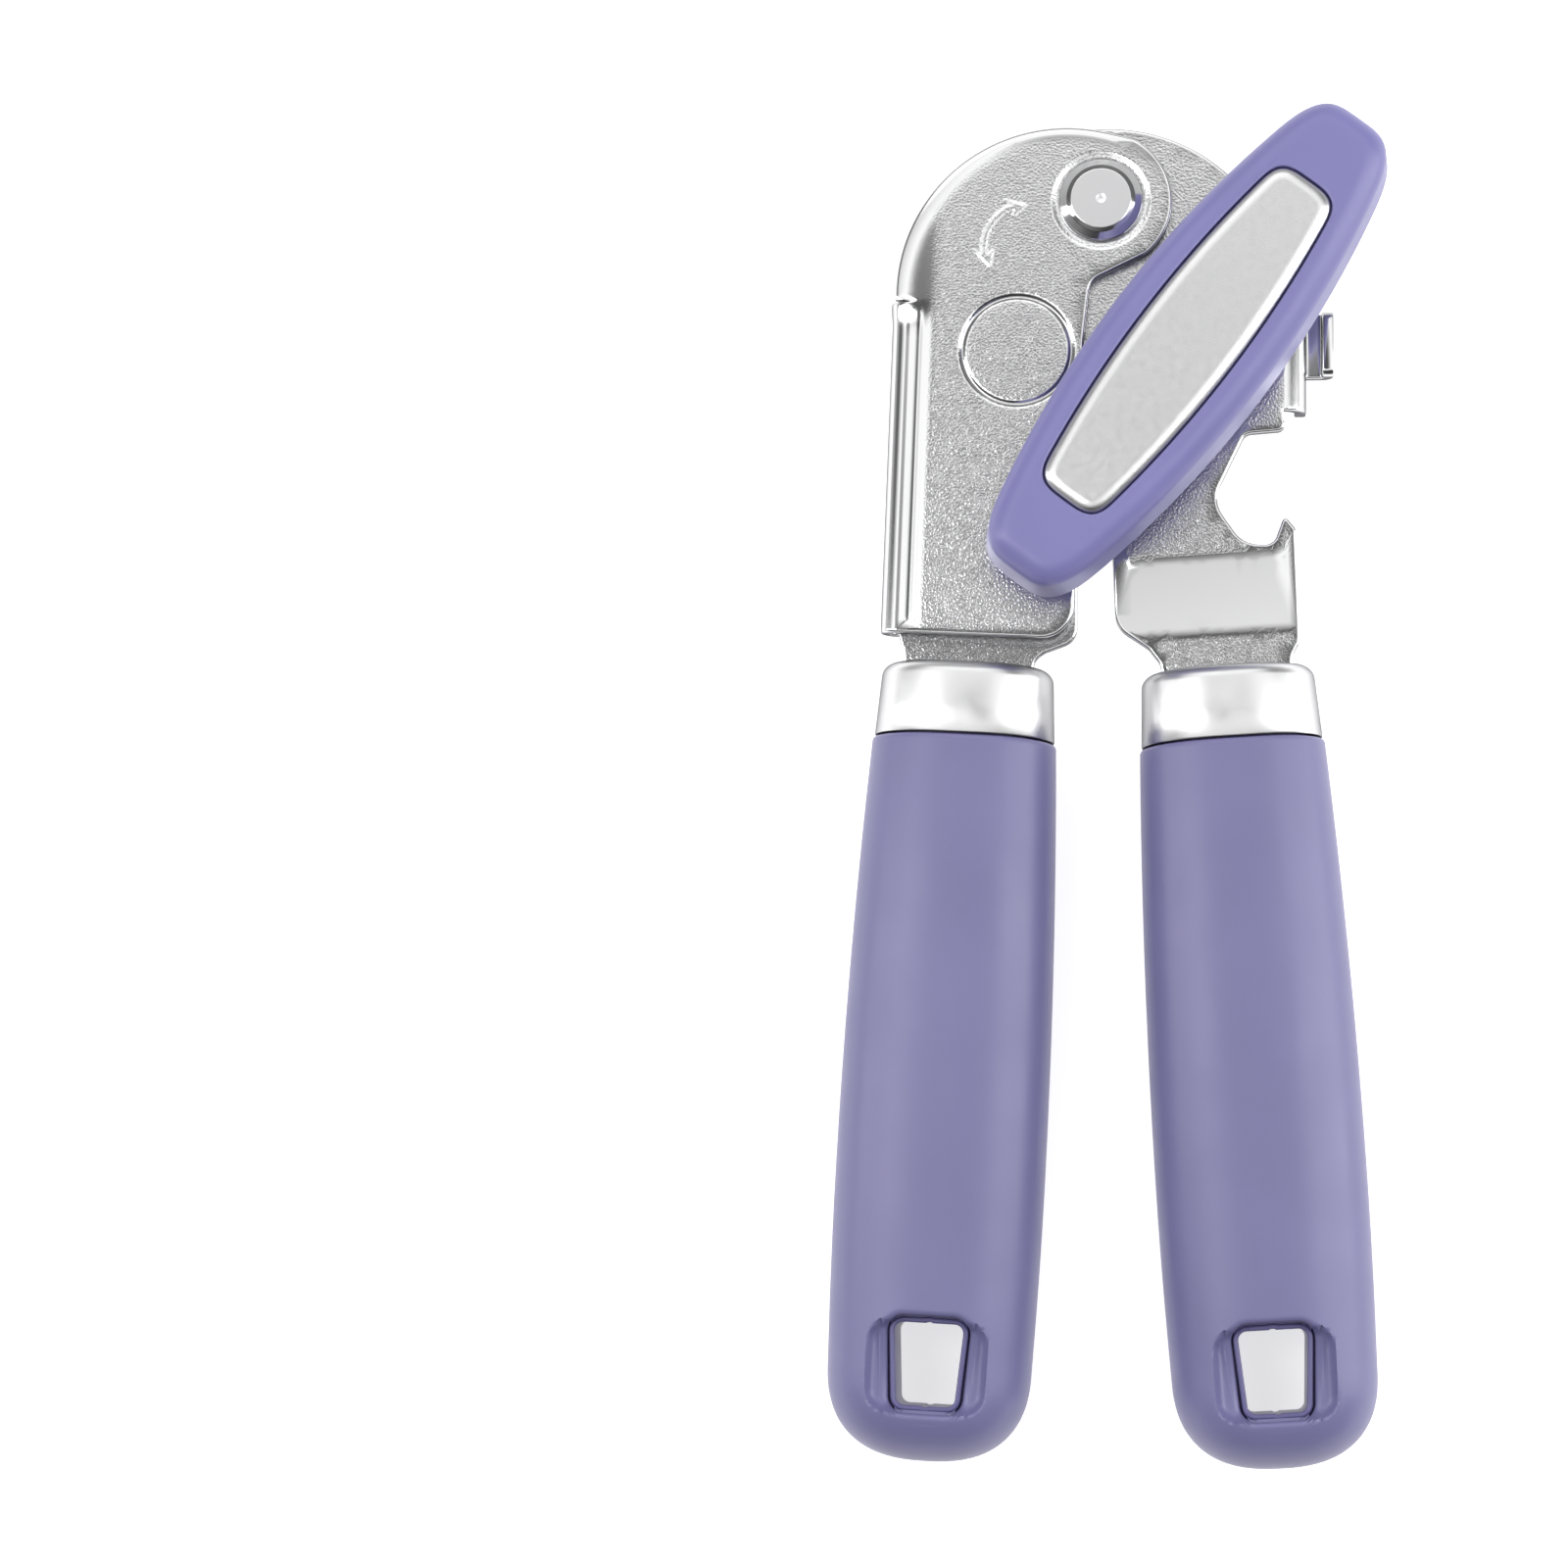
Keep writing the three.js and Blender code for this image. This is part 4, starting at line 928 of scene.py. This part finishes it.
def handle_blank(start, hole, hole_steps):
    """A flat blank of half the sleeve, (turn, down), with the hanging hole left out."""
    tip = [tip_start + tip_length * (1 - (1 - share) ** 1.7) for share in np.linspace(0, 1, 30)[1:-1]]
    downs = [start, *(start + step for step in (0.06, 0.16, 0.3, 0.5, 0.9)),
             *np.arange(start + 4, tip_start, 2.6), *tip, grip_length - 0.03, grip_length - 0.003]
    turns = np.linspace(-1, 1, 61) * turn_width
    border = [(turn, downs[0]) for turn in turns] + [(turn_width, down) for down in downs[1:]]
    border += [(turn, downs[-1]) for turn in turns[-2::-1]]
    border += [(-turn_width, down) for down in downs[-2:0:-1]]
    rims = []
    for step in hole_steps:
        rim = np.array(hole if step == 0 else inset(hole[::-1], step)[::-1])
        turn = turn_at(rim[:, 0] / grip_half_width(rim[:, 1])) * turn_width
        rims.append([tuple(point) for point in np.stack([turn, rim[:, 1]], 1)])
    fill = [(turn, down) for turn in turns[1:-1] for down in downs[1:-1]]
    fill = np.concatenate([fill, grid((-13.5, scoop_top - 2), (13.5, scoop_foot + 2), 0.42, 0.42)])
    apart = np.min([edge_distance(fill, rim) for rim in rims], axis=0)
    fill = fill[(apart > 0.22) & ~inside(fill, rims[0])]
    flat, triangles = blank([border, *rims], fill, rims[:1])
    return flat[:, 0] / turn_width, flat[:, 1], triangles


mirror = np.array([1, 1, -1])


def soft_lavender(name, colour):
    """Soft-touch moulding: matt with a silky sheen, faintly mottled, with a very fine skin."""
    finish, tree, shader = new_finish(name, colour, 0.38, 0.0, (120.0, 0.36, 0.42), Specular_IOR_Level=0.55)
    raise_skin(tree, shader, speckle(tree, 3200.0, 2.0), 0.1, 0.00004)
    mottle = wear(tree, 55.0, 0.96, 1.03)
    tint = add_node(tree, "ShaderNodeVectorMath", {0: colour, "Scale": mottle}, operation="SCALE")
    tree.links.new(tint.outputs["Vector"], shader.inputs["Base Color"])
    return finish


def moulded_handle(side, neck, up):
    """One handle's sleeve, with its scooped hanging hole, and the core inside it."""
    edge = 0.9
    hole = hole_outline(lining + GAP)
    turn, down, triangles = handle_blank(grip_start, hole, (0, 0.07, 0.27, 0.58, edge, 1.4))
    front = grip_surface(turn, down)
    rim = edge_distance(front[:, :2], hole)
    over = edge - np.minimum(rim, edge)
    front[:, 2] -= edge - np.sqrt(np.maximum(edge ** 2 - over ** 2, 0))
    inner = grip_surface(turn, down) - surface_normals(turn, down) * grip_wall
    inner[:, 2] = np.maximum(inner[:, 2], 0.0)
    inner[rim < 1e-3, :2] = front[rim < 1e-3, :2]

    def at_tip(a, b):
        return down[a] > grip_length - 0.01 and down[b] > grip_length - 0.01

    outer_points, outer_faces = two_faced(front, front * mirror, triangles, at_tip)
    inner_points, inner_faces = two_faced(inner, inner * mirror, triangles, at_tip)
    count = len(outer_points)
    faces = outer_faces + [tuple(i + count for i in face[::-1]) for face in inner_faces]
    half = len(front)
    for a, b in rim_pairs(triangles):
        at_hole = rim[a] < 1e-3 and rim[b] < 1e-3
        at_neck = abs(down[a] - grip_start) < 1e-6 and abs(down[b] - grip_start) < 1e-6
        if at_hole or at_neck:
            faces.append((b, a, a + count, b + count))
            faces.append((a + half, b + half, b + half + count, a + half + count))
    points = np.concatenate([outer_points, inner_points])
    piece(f"{side}_soft_grip", seat_on_handle(points, neck, up), faces, lavender, f"{side}_arm",
          "soft_lavender", f"{side}_grip", crease=50)

    core_start = -9.0
    hole = hole_outline(0)
    lining_steps = (0, 0.05, 0.15, 0.3, lining - 0.2, lining - 0.06, lining, lining + 0.06)
    turn, down, triangles = handle_blank(0.0, hole, lining_steps)
    core = grip_surface(turn, np.maximum(down, 1.2))
    core = core - surface_normals(turn, np.maximum(down, 1.2)) * (grip_wall + GAP)
    core[:, 1] = np.where(down < 1.2, core_start + down * (core[:, 1] - core_start) / 1.2, core[:, 1])
    core[:, 2] = np.maximum(core[:, 2], 0.0)
    rim = edge_distance(np.stack([grip_surface(turn, down)[:, 0], down], 1), hole)
    collar = rim < lining + 0.01
    ease = 0.3
    over = np.maximum(ease - np.minimum(rim, ease), ease - np.clip(lining - rim, 0, ease))
    crown = scoop_floor - GAP - (ease - np.sqrt(np.maximum(ease ** 2 - over ** 2, 0)))
    core[collar, 2] = crown[collar]
    core[collar, :2] = np.stack([grip_surface(turn, down)[:, 0], down], 1)[collar]
    points, faces = two_faced(core, core * mirror, triangles, lambda a, b: (
        (rim[a] < 1e-3 and rim[b] < 1e-3) or (down[a] < 1e-6 and down[b] < 1e-6) or at_tip(a, b)))
    piece(f"{side}_core", seat_on_handle(points, neck, up), faces, hard, f"{side}_arm", "hard_lavender",
          f"{side}_handle_core", crease=40)


lavender = soft_lavender("soft_lavender", (0.19, 0.181, 0.36))
hard = new_finish("hard_lavender", (0.13, 0.12, 0.28), 0.35, 0.0, (150.0, 0.3, 0.42))[0]
for side, neck, up in handles:
    moulded_handle(side, neck, up)

# ---- knob ---------------------------------------------------------------------------------
# A long moulded paddle over a hard hub, with a blasted silver plate let into its face. It turns on
# the drive shaft, at the angle in which the opener was put down.

knob_angle = math.radians(53)
knob_half, knob_wide, knob_waist, knob_end = 43.8, 13.3, 0.0031, 33
knob_foot, knob_height, knob_round, knob_foot_round, knob_draft, knob_wall = 8, 11.5, 3.6, 1.8, 0.5, 3.2
plate_half, plate_wide, plate_waist, plate_end = 30.4, 7.8, 0.0028, 25.5
plate_thick, plate_proud, plate_rim_wide, plate_rim_high, floor_thick = 1.9, 0.5, 2.0, 1.0, 1.8
knob_top = knob_foot + knob_height
plate_seat = knob_top + plate_proud - plate_thick
hub_top = plate_seat - GAP - floor_thick - GAP


def on_shaft(loop, z):
    """A loop of (along, across) points turned to the knob's angle round the drive shaft."""
    cos, sin = math.cos(knob_angle), math.sin(knob_angle)
    return [(drive_axis.x + x * cos - y * sin, drive_axis.y + x * sin + y * cos, z) for x, y in loop]


def paddle(half, wide, waist, end, drawn_in, z):
    """A paddle's outline moved in by `drawn_in`: bowed sides that run into blunt round ends."""
    lengths = np.concatenate([np.linspace(0, end, 12)[:-1],
                              end + (half - end) * (1 - (1 - np.linspace(0, 1, 22)) ** 2.2)])
    widths = (wide - waist * lengths ** 2) * tip_curve((lengths - end) / (half - end), 3.8)
    quarter = list(zip(lengths, widths))
    loop = quarter + [(x, -y) for x, y in quarter[-2::-1]] + [(-x, -y) for x, y in quarter[1:]]
    loop += [(-x, y) for x, y in quarter[-2:0:-1]]
    return on_shaft(inset(loop[::-1], drawn_in)[::-1], z)


def knob_ring(drawn_in, z):
    return paddle(knob_half, knob_wide, knob_waist, knob_end, drawn_in, z)


def plate_ring(drawn_in, z):
    return paddle(plate_half, plate_wide, plate_waist, plate_end, drawn_in, z)


rings = [knob_ring(knob_wall, hub_top + GAP), knob_ring(knob_wall, knob_foot + 0.3),
         knob_ring(knob_wall - 0.3, knob_foot)]
rings += [knob_ring(knob_foot_round * (1 - math.sin(a)), knob_foot + knob_foot_round * (1 - math.cos(a)))
          for a in np.radians(np.linspace(0, 90, 8))]
rings += [knob_ring(knob_draft + knob_round * (1 - math.cos(a)), knob_top - knob_round * (1 - math.sin(a)))
          for a in np.radians(np.linspace(0, 86, 16))]
rings += [knob_ring(knob_draft + knob_round + step, knob_top) for step in (0.05, 0.2)]
rings += [plate_ring(drawn_in, z) for drawn_in, z in (
    (-0.75, knob_top), (-0.42, knob_top - 0.02), (-GAP, knob_top - 0.12), (-GAP, plate_seat - GAP))]
points, faces = loft(rings)
knob_lavender = soft_lavender("knob_lavender", (0.212, 0.202, 0.455))
piece("turning_knob", points, faces, knob_lavender, "drive", "soft_lavender", "knob_grip", crease=40)

plate_top = plate_seat + plate_thick
rings = [plate_ring(drawn_in, z) for drawn_in, z in (
    (0.3, plate_seat), (0, plate_seat + 0.3), (0, plate_top - plate_rim_high))]
rings += [plate_ring(plate_rim_wide * (1 - math.cos(a)), plate_top - plate_rim_high * (1 - math.sin(a)))
          for a in np.radians(np.linspace(6, 86, 14))]
rings += [plate_ring(plate_rim_wide + step, plate_top) for step in (0, 0.1, 0.4)]
points, faces = loft(rings)


def blasted_silver():
    """Aluminium blasted with fine beads: an even sparkle over a soft sheen."""
    finish, tree, shader = new_finish("blasted_silver", (0.76, 0.76, 0.765), 0.34, 1.0, (900.0, 0.3, 0.34))
    raise_skin(tree, shader, speckle(tree, 4200.0, 1.0), 0.3, 0.00004)
    return finish


silver = blasted_silver()
piece("knob_plate", points, faces, silver, "drive", "satin_silver", "knob_inlay", crease=40)

shaft_radius, shaft_flat, shaft_top, boss_radius, boss_foot = 3.0, 2.4, 13.0, 6.6, 5.7
screw_radius, screw_head = 1.4, 3.6
shaft_bore, screw_seat = shaft_radius + GAP, shaft_top + GAP
paddle_count = len(knob_ring(0, 0))


def ring_in_knob(radius, z):
    """A round ring with as many points as the knob's outline, starting where that starts."""
    turns = np.linspace(0, math.tau, paddle_count, endpoint=False)
    return on_shaft([(radius * math.sin(turn), radius * math.cos(turn)) for turn in turns], z)


rings = [knob_ring(knob_wall + GAP + extra, z) for extra, z in (
    (0.4, knob_foot + 0.15), (0, knob_foot + 0.55), (0, hub_top - 0.4), (0.4, hub_top))]
rings += [ring_in_knob(radius, z) for radius, z in (
    (screw_head + GAP, hub_top), (screw_head + GAP, screw_seat), (shaft_bore, screw_seat),
    (shaft_bore, boss_foot), (boss_radius - 0.3, boss_foot), (boss_radius, boss_foot + 0.3),
    (boss_radius, knob_foot + 0.1))]
points, faces = loft(rings, looped=True)
piece("knob_hub_and_boss", points, faces, hard, "drive", "hard_lavender", "knob_hub", crease=40)
turned("knob_fixing_screw", [(0, screw_seat + 1.9), (2.4, screw_seat + 1.9, 0.8),
                             (screw_head, screw_seat + 0.9, 0.5), (screw_head, screw_seat),
                             (screw_radius, screw_seat), (screw_radius, shaft_top - 7.2, 0.3),
                             (0, shaft_top - 7.2)],
       drive_axis, satin, "drive", "satin_steel", "knob_screw", steps=64)

# ---- drive shaft and its bearings ---------------------------------------------------------
# A steel shaft, flatted at the top for the hub and nutted at the foot, turns in a flanged bronze
# bushing pressed into the right arm, with a thrust washer above and a spacer below.

gear_thick, feed_thick, nut_height, bush_radius = 2.0, 3.0, 3.0, 4.6
gear_front = rear_middle - SHEET / 2 - GAP
gear_back = gear_front - gear_thick
feed_front = gear_back - GAP
feed_back = feed_front - feed_thick
nut_front = feed_back - GAP
shaft_foot = nut_front - nut_height
bush_front = arm_middle + SHEET / 2 + GAP + 1.0


def shaft_ring(radius, z, flat=None):
    """A ring of the shaft, cut off flat on two sides where `flat` is given."""
    turns = np.linspace(0, math.tau, 96, endpoint=False)
    reach = flat or radius
    return on_shaft([(radius * math.cos(turn), max(-reach, min(reach, radius * math.sin(turn))))
                     for turn in turns], z)


tapped = screw_radius + GAP
thread_turns, thread_pitch, thread_depth = 10, 0.32, 0.12
rings = [shaft_ring(*ring) for ring in (
    (tapped, shaft_top - 7.5), (tapped, shaft_top - 0.3), (tapped + 0.3, shaft_top),
    (shaft_radius - 0.3, shaft_top, shaft_flat), (shaft_radius, shaft_top - 0.3, shaft_flat),
    (shaft_radius, knob_foot, shaft_flat), (shaft_radius, knob_foot))]
for half_turn in range(thread_turns * 2):
    rings.append(shaft_ring(shaft_radius - thread_depth * (half_turn % 2),
                            feed_back + 0.2 - half_turn * thread_pitch / 2))
rings += [shaft_ring(shaft_radius - 0.1, shaft_foot + 0.15), shaft_ring(shaft_radius - 0.5, shaft_foot)]
points, faces = loft(rings)
piece("drive_shaft_turned", points, faces, satin, "drive", "satin_steel", "drive_shaft", crease=25)

bronze = new_finish("sintered_bronze", (0.42, 0.27, 0.12), 0.4, 1.0, (900.0, 0.33, 0.5))[0]
turned("shaft_flanged_bushing", [
    (shaft_bore, tang_level, 0.2), (bush_radius, tang_level, 0.3), (bush_radius, bush_front - 1.0),
    (boss_radius, bush_front - 1.0, 0.2), (boss_radius, bush_front, 0.3), (shaft_bore, bush_front, 0.2)],
       drive_axis, bronze, "right_arm", "bronze", "shaft_bushing")


def washer(name, axis, bore, radius, low, high, body, node):
    """A plain ring of steel with lightly eased edges."""
    ease = 0.15
    turned(name, [(bore, low, ease), (radius, low, ease), (radius, high, ease), (bore, high, ease)],
           axis, satin, body, "satin_steel", node, steps=96)


washer("knob_thrust_washer", drive_axis, shaft_bore, boss_radius, bush_front + GAP,
       bush_front + GAP + 0.8, "drive", "thrust_washer")
washer("gear_spacer", drive_axis, shaft_bore, 5.5, rear_middle - SHEET / 2, tang_level - GAP, "drive",
       "drive_spacer")

nut_flat = 4.2
nut_foot = shaft_foot + GAP


def nut_ring(limit, z):
    """The nut's hexagon with its corners cut back to the radius `limit`; its bore when that is small."""
    turns = np.linspace(0, math.tau, 96, endpoint=False)
    reach = np.minimum(nut_flat / np.cos((turns + math.pi / 6) % (math.pi / 3) - math.pi / 6), limit)
    return [(drive_axis.x + radius * math.cos(turn), drive_axis.y + radius * math.sin(turn), z)
            for radius, turn in zip(reach, turns)]


nut_end = [(shaft_bore, 0.2), (shaft_bore + 0.3, 0), (4.15, 0), (4.35, 0.1), (4.55, 0.2), (4.75, 0.33),
           (5, 0.5)]
rings = [nut_ring(limit, nut_foot + rise) for limit, rise in nut_end]
rings += [nut_ring(limit, nut_front - rise) for limit, rise in nut_end[::-1]]
points, faces = loft(rings, looped=True)
piece("feed_wheel_nut", points, faces, polish, "drive", "polished_steel", "feed_nut", crease=25)

# ---- gears and feed wheel -----------------------------------------------------------------
# Two equal hardened spur gears carry the knob's turn to the cutter. The notched feed wheel under
# the drive gear grips the can's rim. Each is one slice, repeated all the way round.

wheel_gap, gear_teeth, tooth_tip, tooth_root, backlash = 17, 18, 0.82, 1.15, 0.35
feed_teeth, feed_radius, feed_notch = 20, 7, 0.55


def repeated_round():
    """A node tree that turns `Count` copies of a slice round an axis at `Place`, starting at `Start`."""
    tree = bpy.data.node_groups.new("repeated_round", "GeometryNodeTree")
    for label, kind in (("Slice", "Geometry"), ("Count", "Int"), ("Start", "Float"), ("Place", "Vector"),
                        ("Finish", "Material")):
        tree.interface.new_socket(label, in_out="INPUT", socket_type="NodeSocket" + kind)
    tree.interface.new_socket("Geometry", in_out="OUTPUT", socket_type="NodeSocketGeometry")
    given = tree.nodes.new("NodeGroupInput").outputs
    line = add_node(tree, "GeometryNodeMeshLine", {
        "Count": given["Count"], "Start Location": given["Place"], "Offset": (0, 0, 0)})
    index = add_node(tree, "GeometryNodeInputIndex").outputs[0]
    share = add_node(tree, "ShaderNodeMath", {0: index, 1: given["Count"]}, operation="DIVIDE").outputs[0]
    turn = add_node(tree, "ShaderNodeMath", {0: share, 1: math.tau, 2: given["Start"]},
                    operation="MULTIPLY_ADD").outputs[0]
    rotation = add_node(tree, "ShaderNodeCombineXYZ", {"Z": turn}).outputs[0]
    copies = add_node(tree, "GeometryNodeInstanceOnPoints", {
        "Points": line.outputs["Mesh"], "Instance": given["Slice"], "Rotation": rotation})
    whole = add_node(tree, "GeometryNodeRealizeInstances", {"Geometry": copies.outputs["Instances"]})
    coated = add_node(tree, "GeometryNodeSetMaterial", {"Geometry": whole.outputs["Geometry"],
                                                        "Material": given["Finish"]})
    result = tree.nodes.new("NodeGroupOutput")
    tree.links.new(coated.outputs["Geometry"], result.inputs["Geometry"])
    return tree


around_axis = repeated_round()
sockets = {item.name: item.identifier for item in around_axis.interface.items_tree}


def toothed(name, rim, bore, back, front, count, start, axis, body, node):
    """A toothed wheel from one slice's rim, (angle, radius) points that run over one tooth."""
    ease = 0.2
    levels = [(0, front - ease, 0), (0, front, ease), (1, front, -ease), (1, front - ease, 0),
              (1, back + ease, 0), (1, back, -ease), (0, back, ease), (0, back + ease, 0)]
    points = []
    for outer, z, step in levels:
        for angle, radius in rim:
            reach = (radius if outer else bore) + step
            turn = math.radians(angle)
            points.append((reach * math.cos(turn) * MM, reach * math.sin(turn) * MM, z * MM))
    width = len(rim)
    faces = [(i * width + j, i * width + j + 1, (i + 1) % 8 * width + j + 1, (i + 1) % 8 * width + j)
             for i in range(8) for j in range(width - 1)]
    slice_mesh = bpy.data.meshes.new(name)
    slice_mesh.from_pydata(points, [], faces)
    made = bpy.data.objects.new(name + "_slice", slice_mesh)
    bpy.context.scene.collection.objects.link(made)
    around = made.modifiers.new("around", "NODES")
    around.node_group = around_axis
    around[sockets["Count"]] = count
    around[sockets["Start"]] = start
    around[sockets["Place"]] = (Vector((axis[0], axis[1], 0)) + pivot) * MM
    around[sockets["Finish"]] = hardened
    bpy.context.view_layer.update()
    graph = bpy.context.evaluated_depsgraph_get()
    whole = bpy.data.meshes.new_from_object(made.evaluated_get(graph))
    made.modifiers.remove(around)
    bpy.data.objects.remove(made)
    shell = bmesh.new()
    shell.from_mesh(whole)
    bmesh.ops.remove_doubles(shell, verts=shell.verts, dist=2e-6)
    bmesh.ops.recalc_face_normals(shell, faces=shell.faces)
    shell.to_mesh(whole)
    shell.free()
    dress(name, whole, hardened, body, "hardened_steel", node, crease=30)


def both_flanks(half, radius):
    """A whole tooth's rim from (angle, height over `radius`) points that run from its root to its middle."""
    half = [(angle, radius + height) for angle, height in half]
    return [(-angle, reach) for angle, reach in half[:-1]] + half[::-1]


hardened = new_finish("hardened_steel", (0.34, 0.345, 0.355), 0.3, 1.0, (700.0, 0.24, 0.38))[0]
pitch_radius = wheel_gap / 2
tooth_angle = math.degrees((math.pi * pitch_radius / gear_teeth - backlash) / pitch_radius)
half_pitch = 180 / gear_teeth
tooth_rim = both_flanks([(half_pitch, -tooth_root)] + [(tooth_angle * share, height) for share, height in (
    (0.86, -tooth_root), (0.7, 0.16 - tooth_root), (0.59, -0.45), (0.46, 0.1), (0.32, tooth_tip - 0.12),
    (0.24, tooth_tip), (0, tooth_tip))], pitch_radius)
feed_rim = both_flanks([(9, -feed_notch), (8, -feed_notch), (4.6, -0.06), (3.8, 0), (0, 0)], feed_radius)
towards_cutter = math.atan2(cutter_axis.y - drive_axis.y, cutter_axis.x - drive_axis.x)
stud_radius = 2.5
stud_bore = stud_radius + GAP
toothed("drive_spur_gear", tooth_rim, shaft_bore, gear_back, gear_front, gear_teeth, towards_cutter,
        drive_axis, "drive", "drive_gear")
toothed("cutter_spur_gear", tooth_rim, stud_bore, gear_back, gear_front, gear_teeth,
        towards_cutter + math.pi + math.radians(half_pitch), cutter_axis, "cutter", "cutter_gear")
toothed("notched_feed_wheel", feed_rim, shaft_bore, feed_back, feed_front, feed_teeth, 0, drive_axis,
        "drive", "feed_wheel")

# ---- cutter -------------------------------------------------------------------------------
# A round blade ground to a bevelled edge, turning on a headed stud that is riveted into the rear
# leaf, with a spacer against its gear and a washer under the stud's head.

cutter_front = feed_back - GAP
cutter_back = cutter_front - 1.2
blade_radius = wheel_gap - feed_radius + 1
turned("round_blade", [(stud_bore, cutter_back), (blade_radius - 2.6, cutter_back, 0.5),
                       (blade_radius, cutter_front - 0.15), (blade_radius - 0.1, cutter_front),
                       (stud_bore, cutter_front)],
       cutter_axis, hardened, "cutter", "hardened_steel", "cutter_wheel", steps=192, crease=20)
washer("blade_spacer", cutter_axis, stud_bore, 5.2, feed_back, feed_front, "cutter", "cutter_spacer")
washer("blade_washer", cutter_axis, stud_bore, 4.4, cutter_back - GAP - 0.5, cutter_back - GAP, "cutter",
       "cutter_washer")
stud_seat = cutter_back - GAP * 2 - 0.5
turned("blade_stud", [(0, -grip_deep), (4.4, -grip_deep, 0.7), (4.4, stud_seat, 0.2),
                      (stud_radius, stud_seat), (stud_radius, tang_level - GAP, 0.3), (0, tang_level - GAP)],
       cutter_axis, satin, "left_arm", "satin_steel", "cutter_stud")
for side, neck, up in handles:
    turned(f"{side}_pin", [(0, -6.5), (1.5, -6.5, 0.3), (1.5, 6.5, 0.3), (0, 6.5)],
           on_handle(neck, up, 0, tang_pin_at), satin, f"{side}_arm", "satin_steel", f"{side}_tang_pin",
           steps=48)
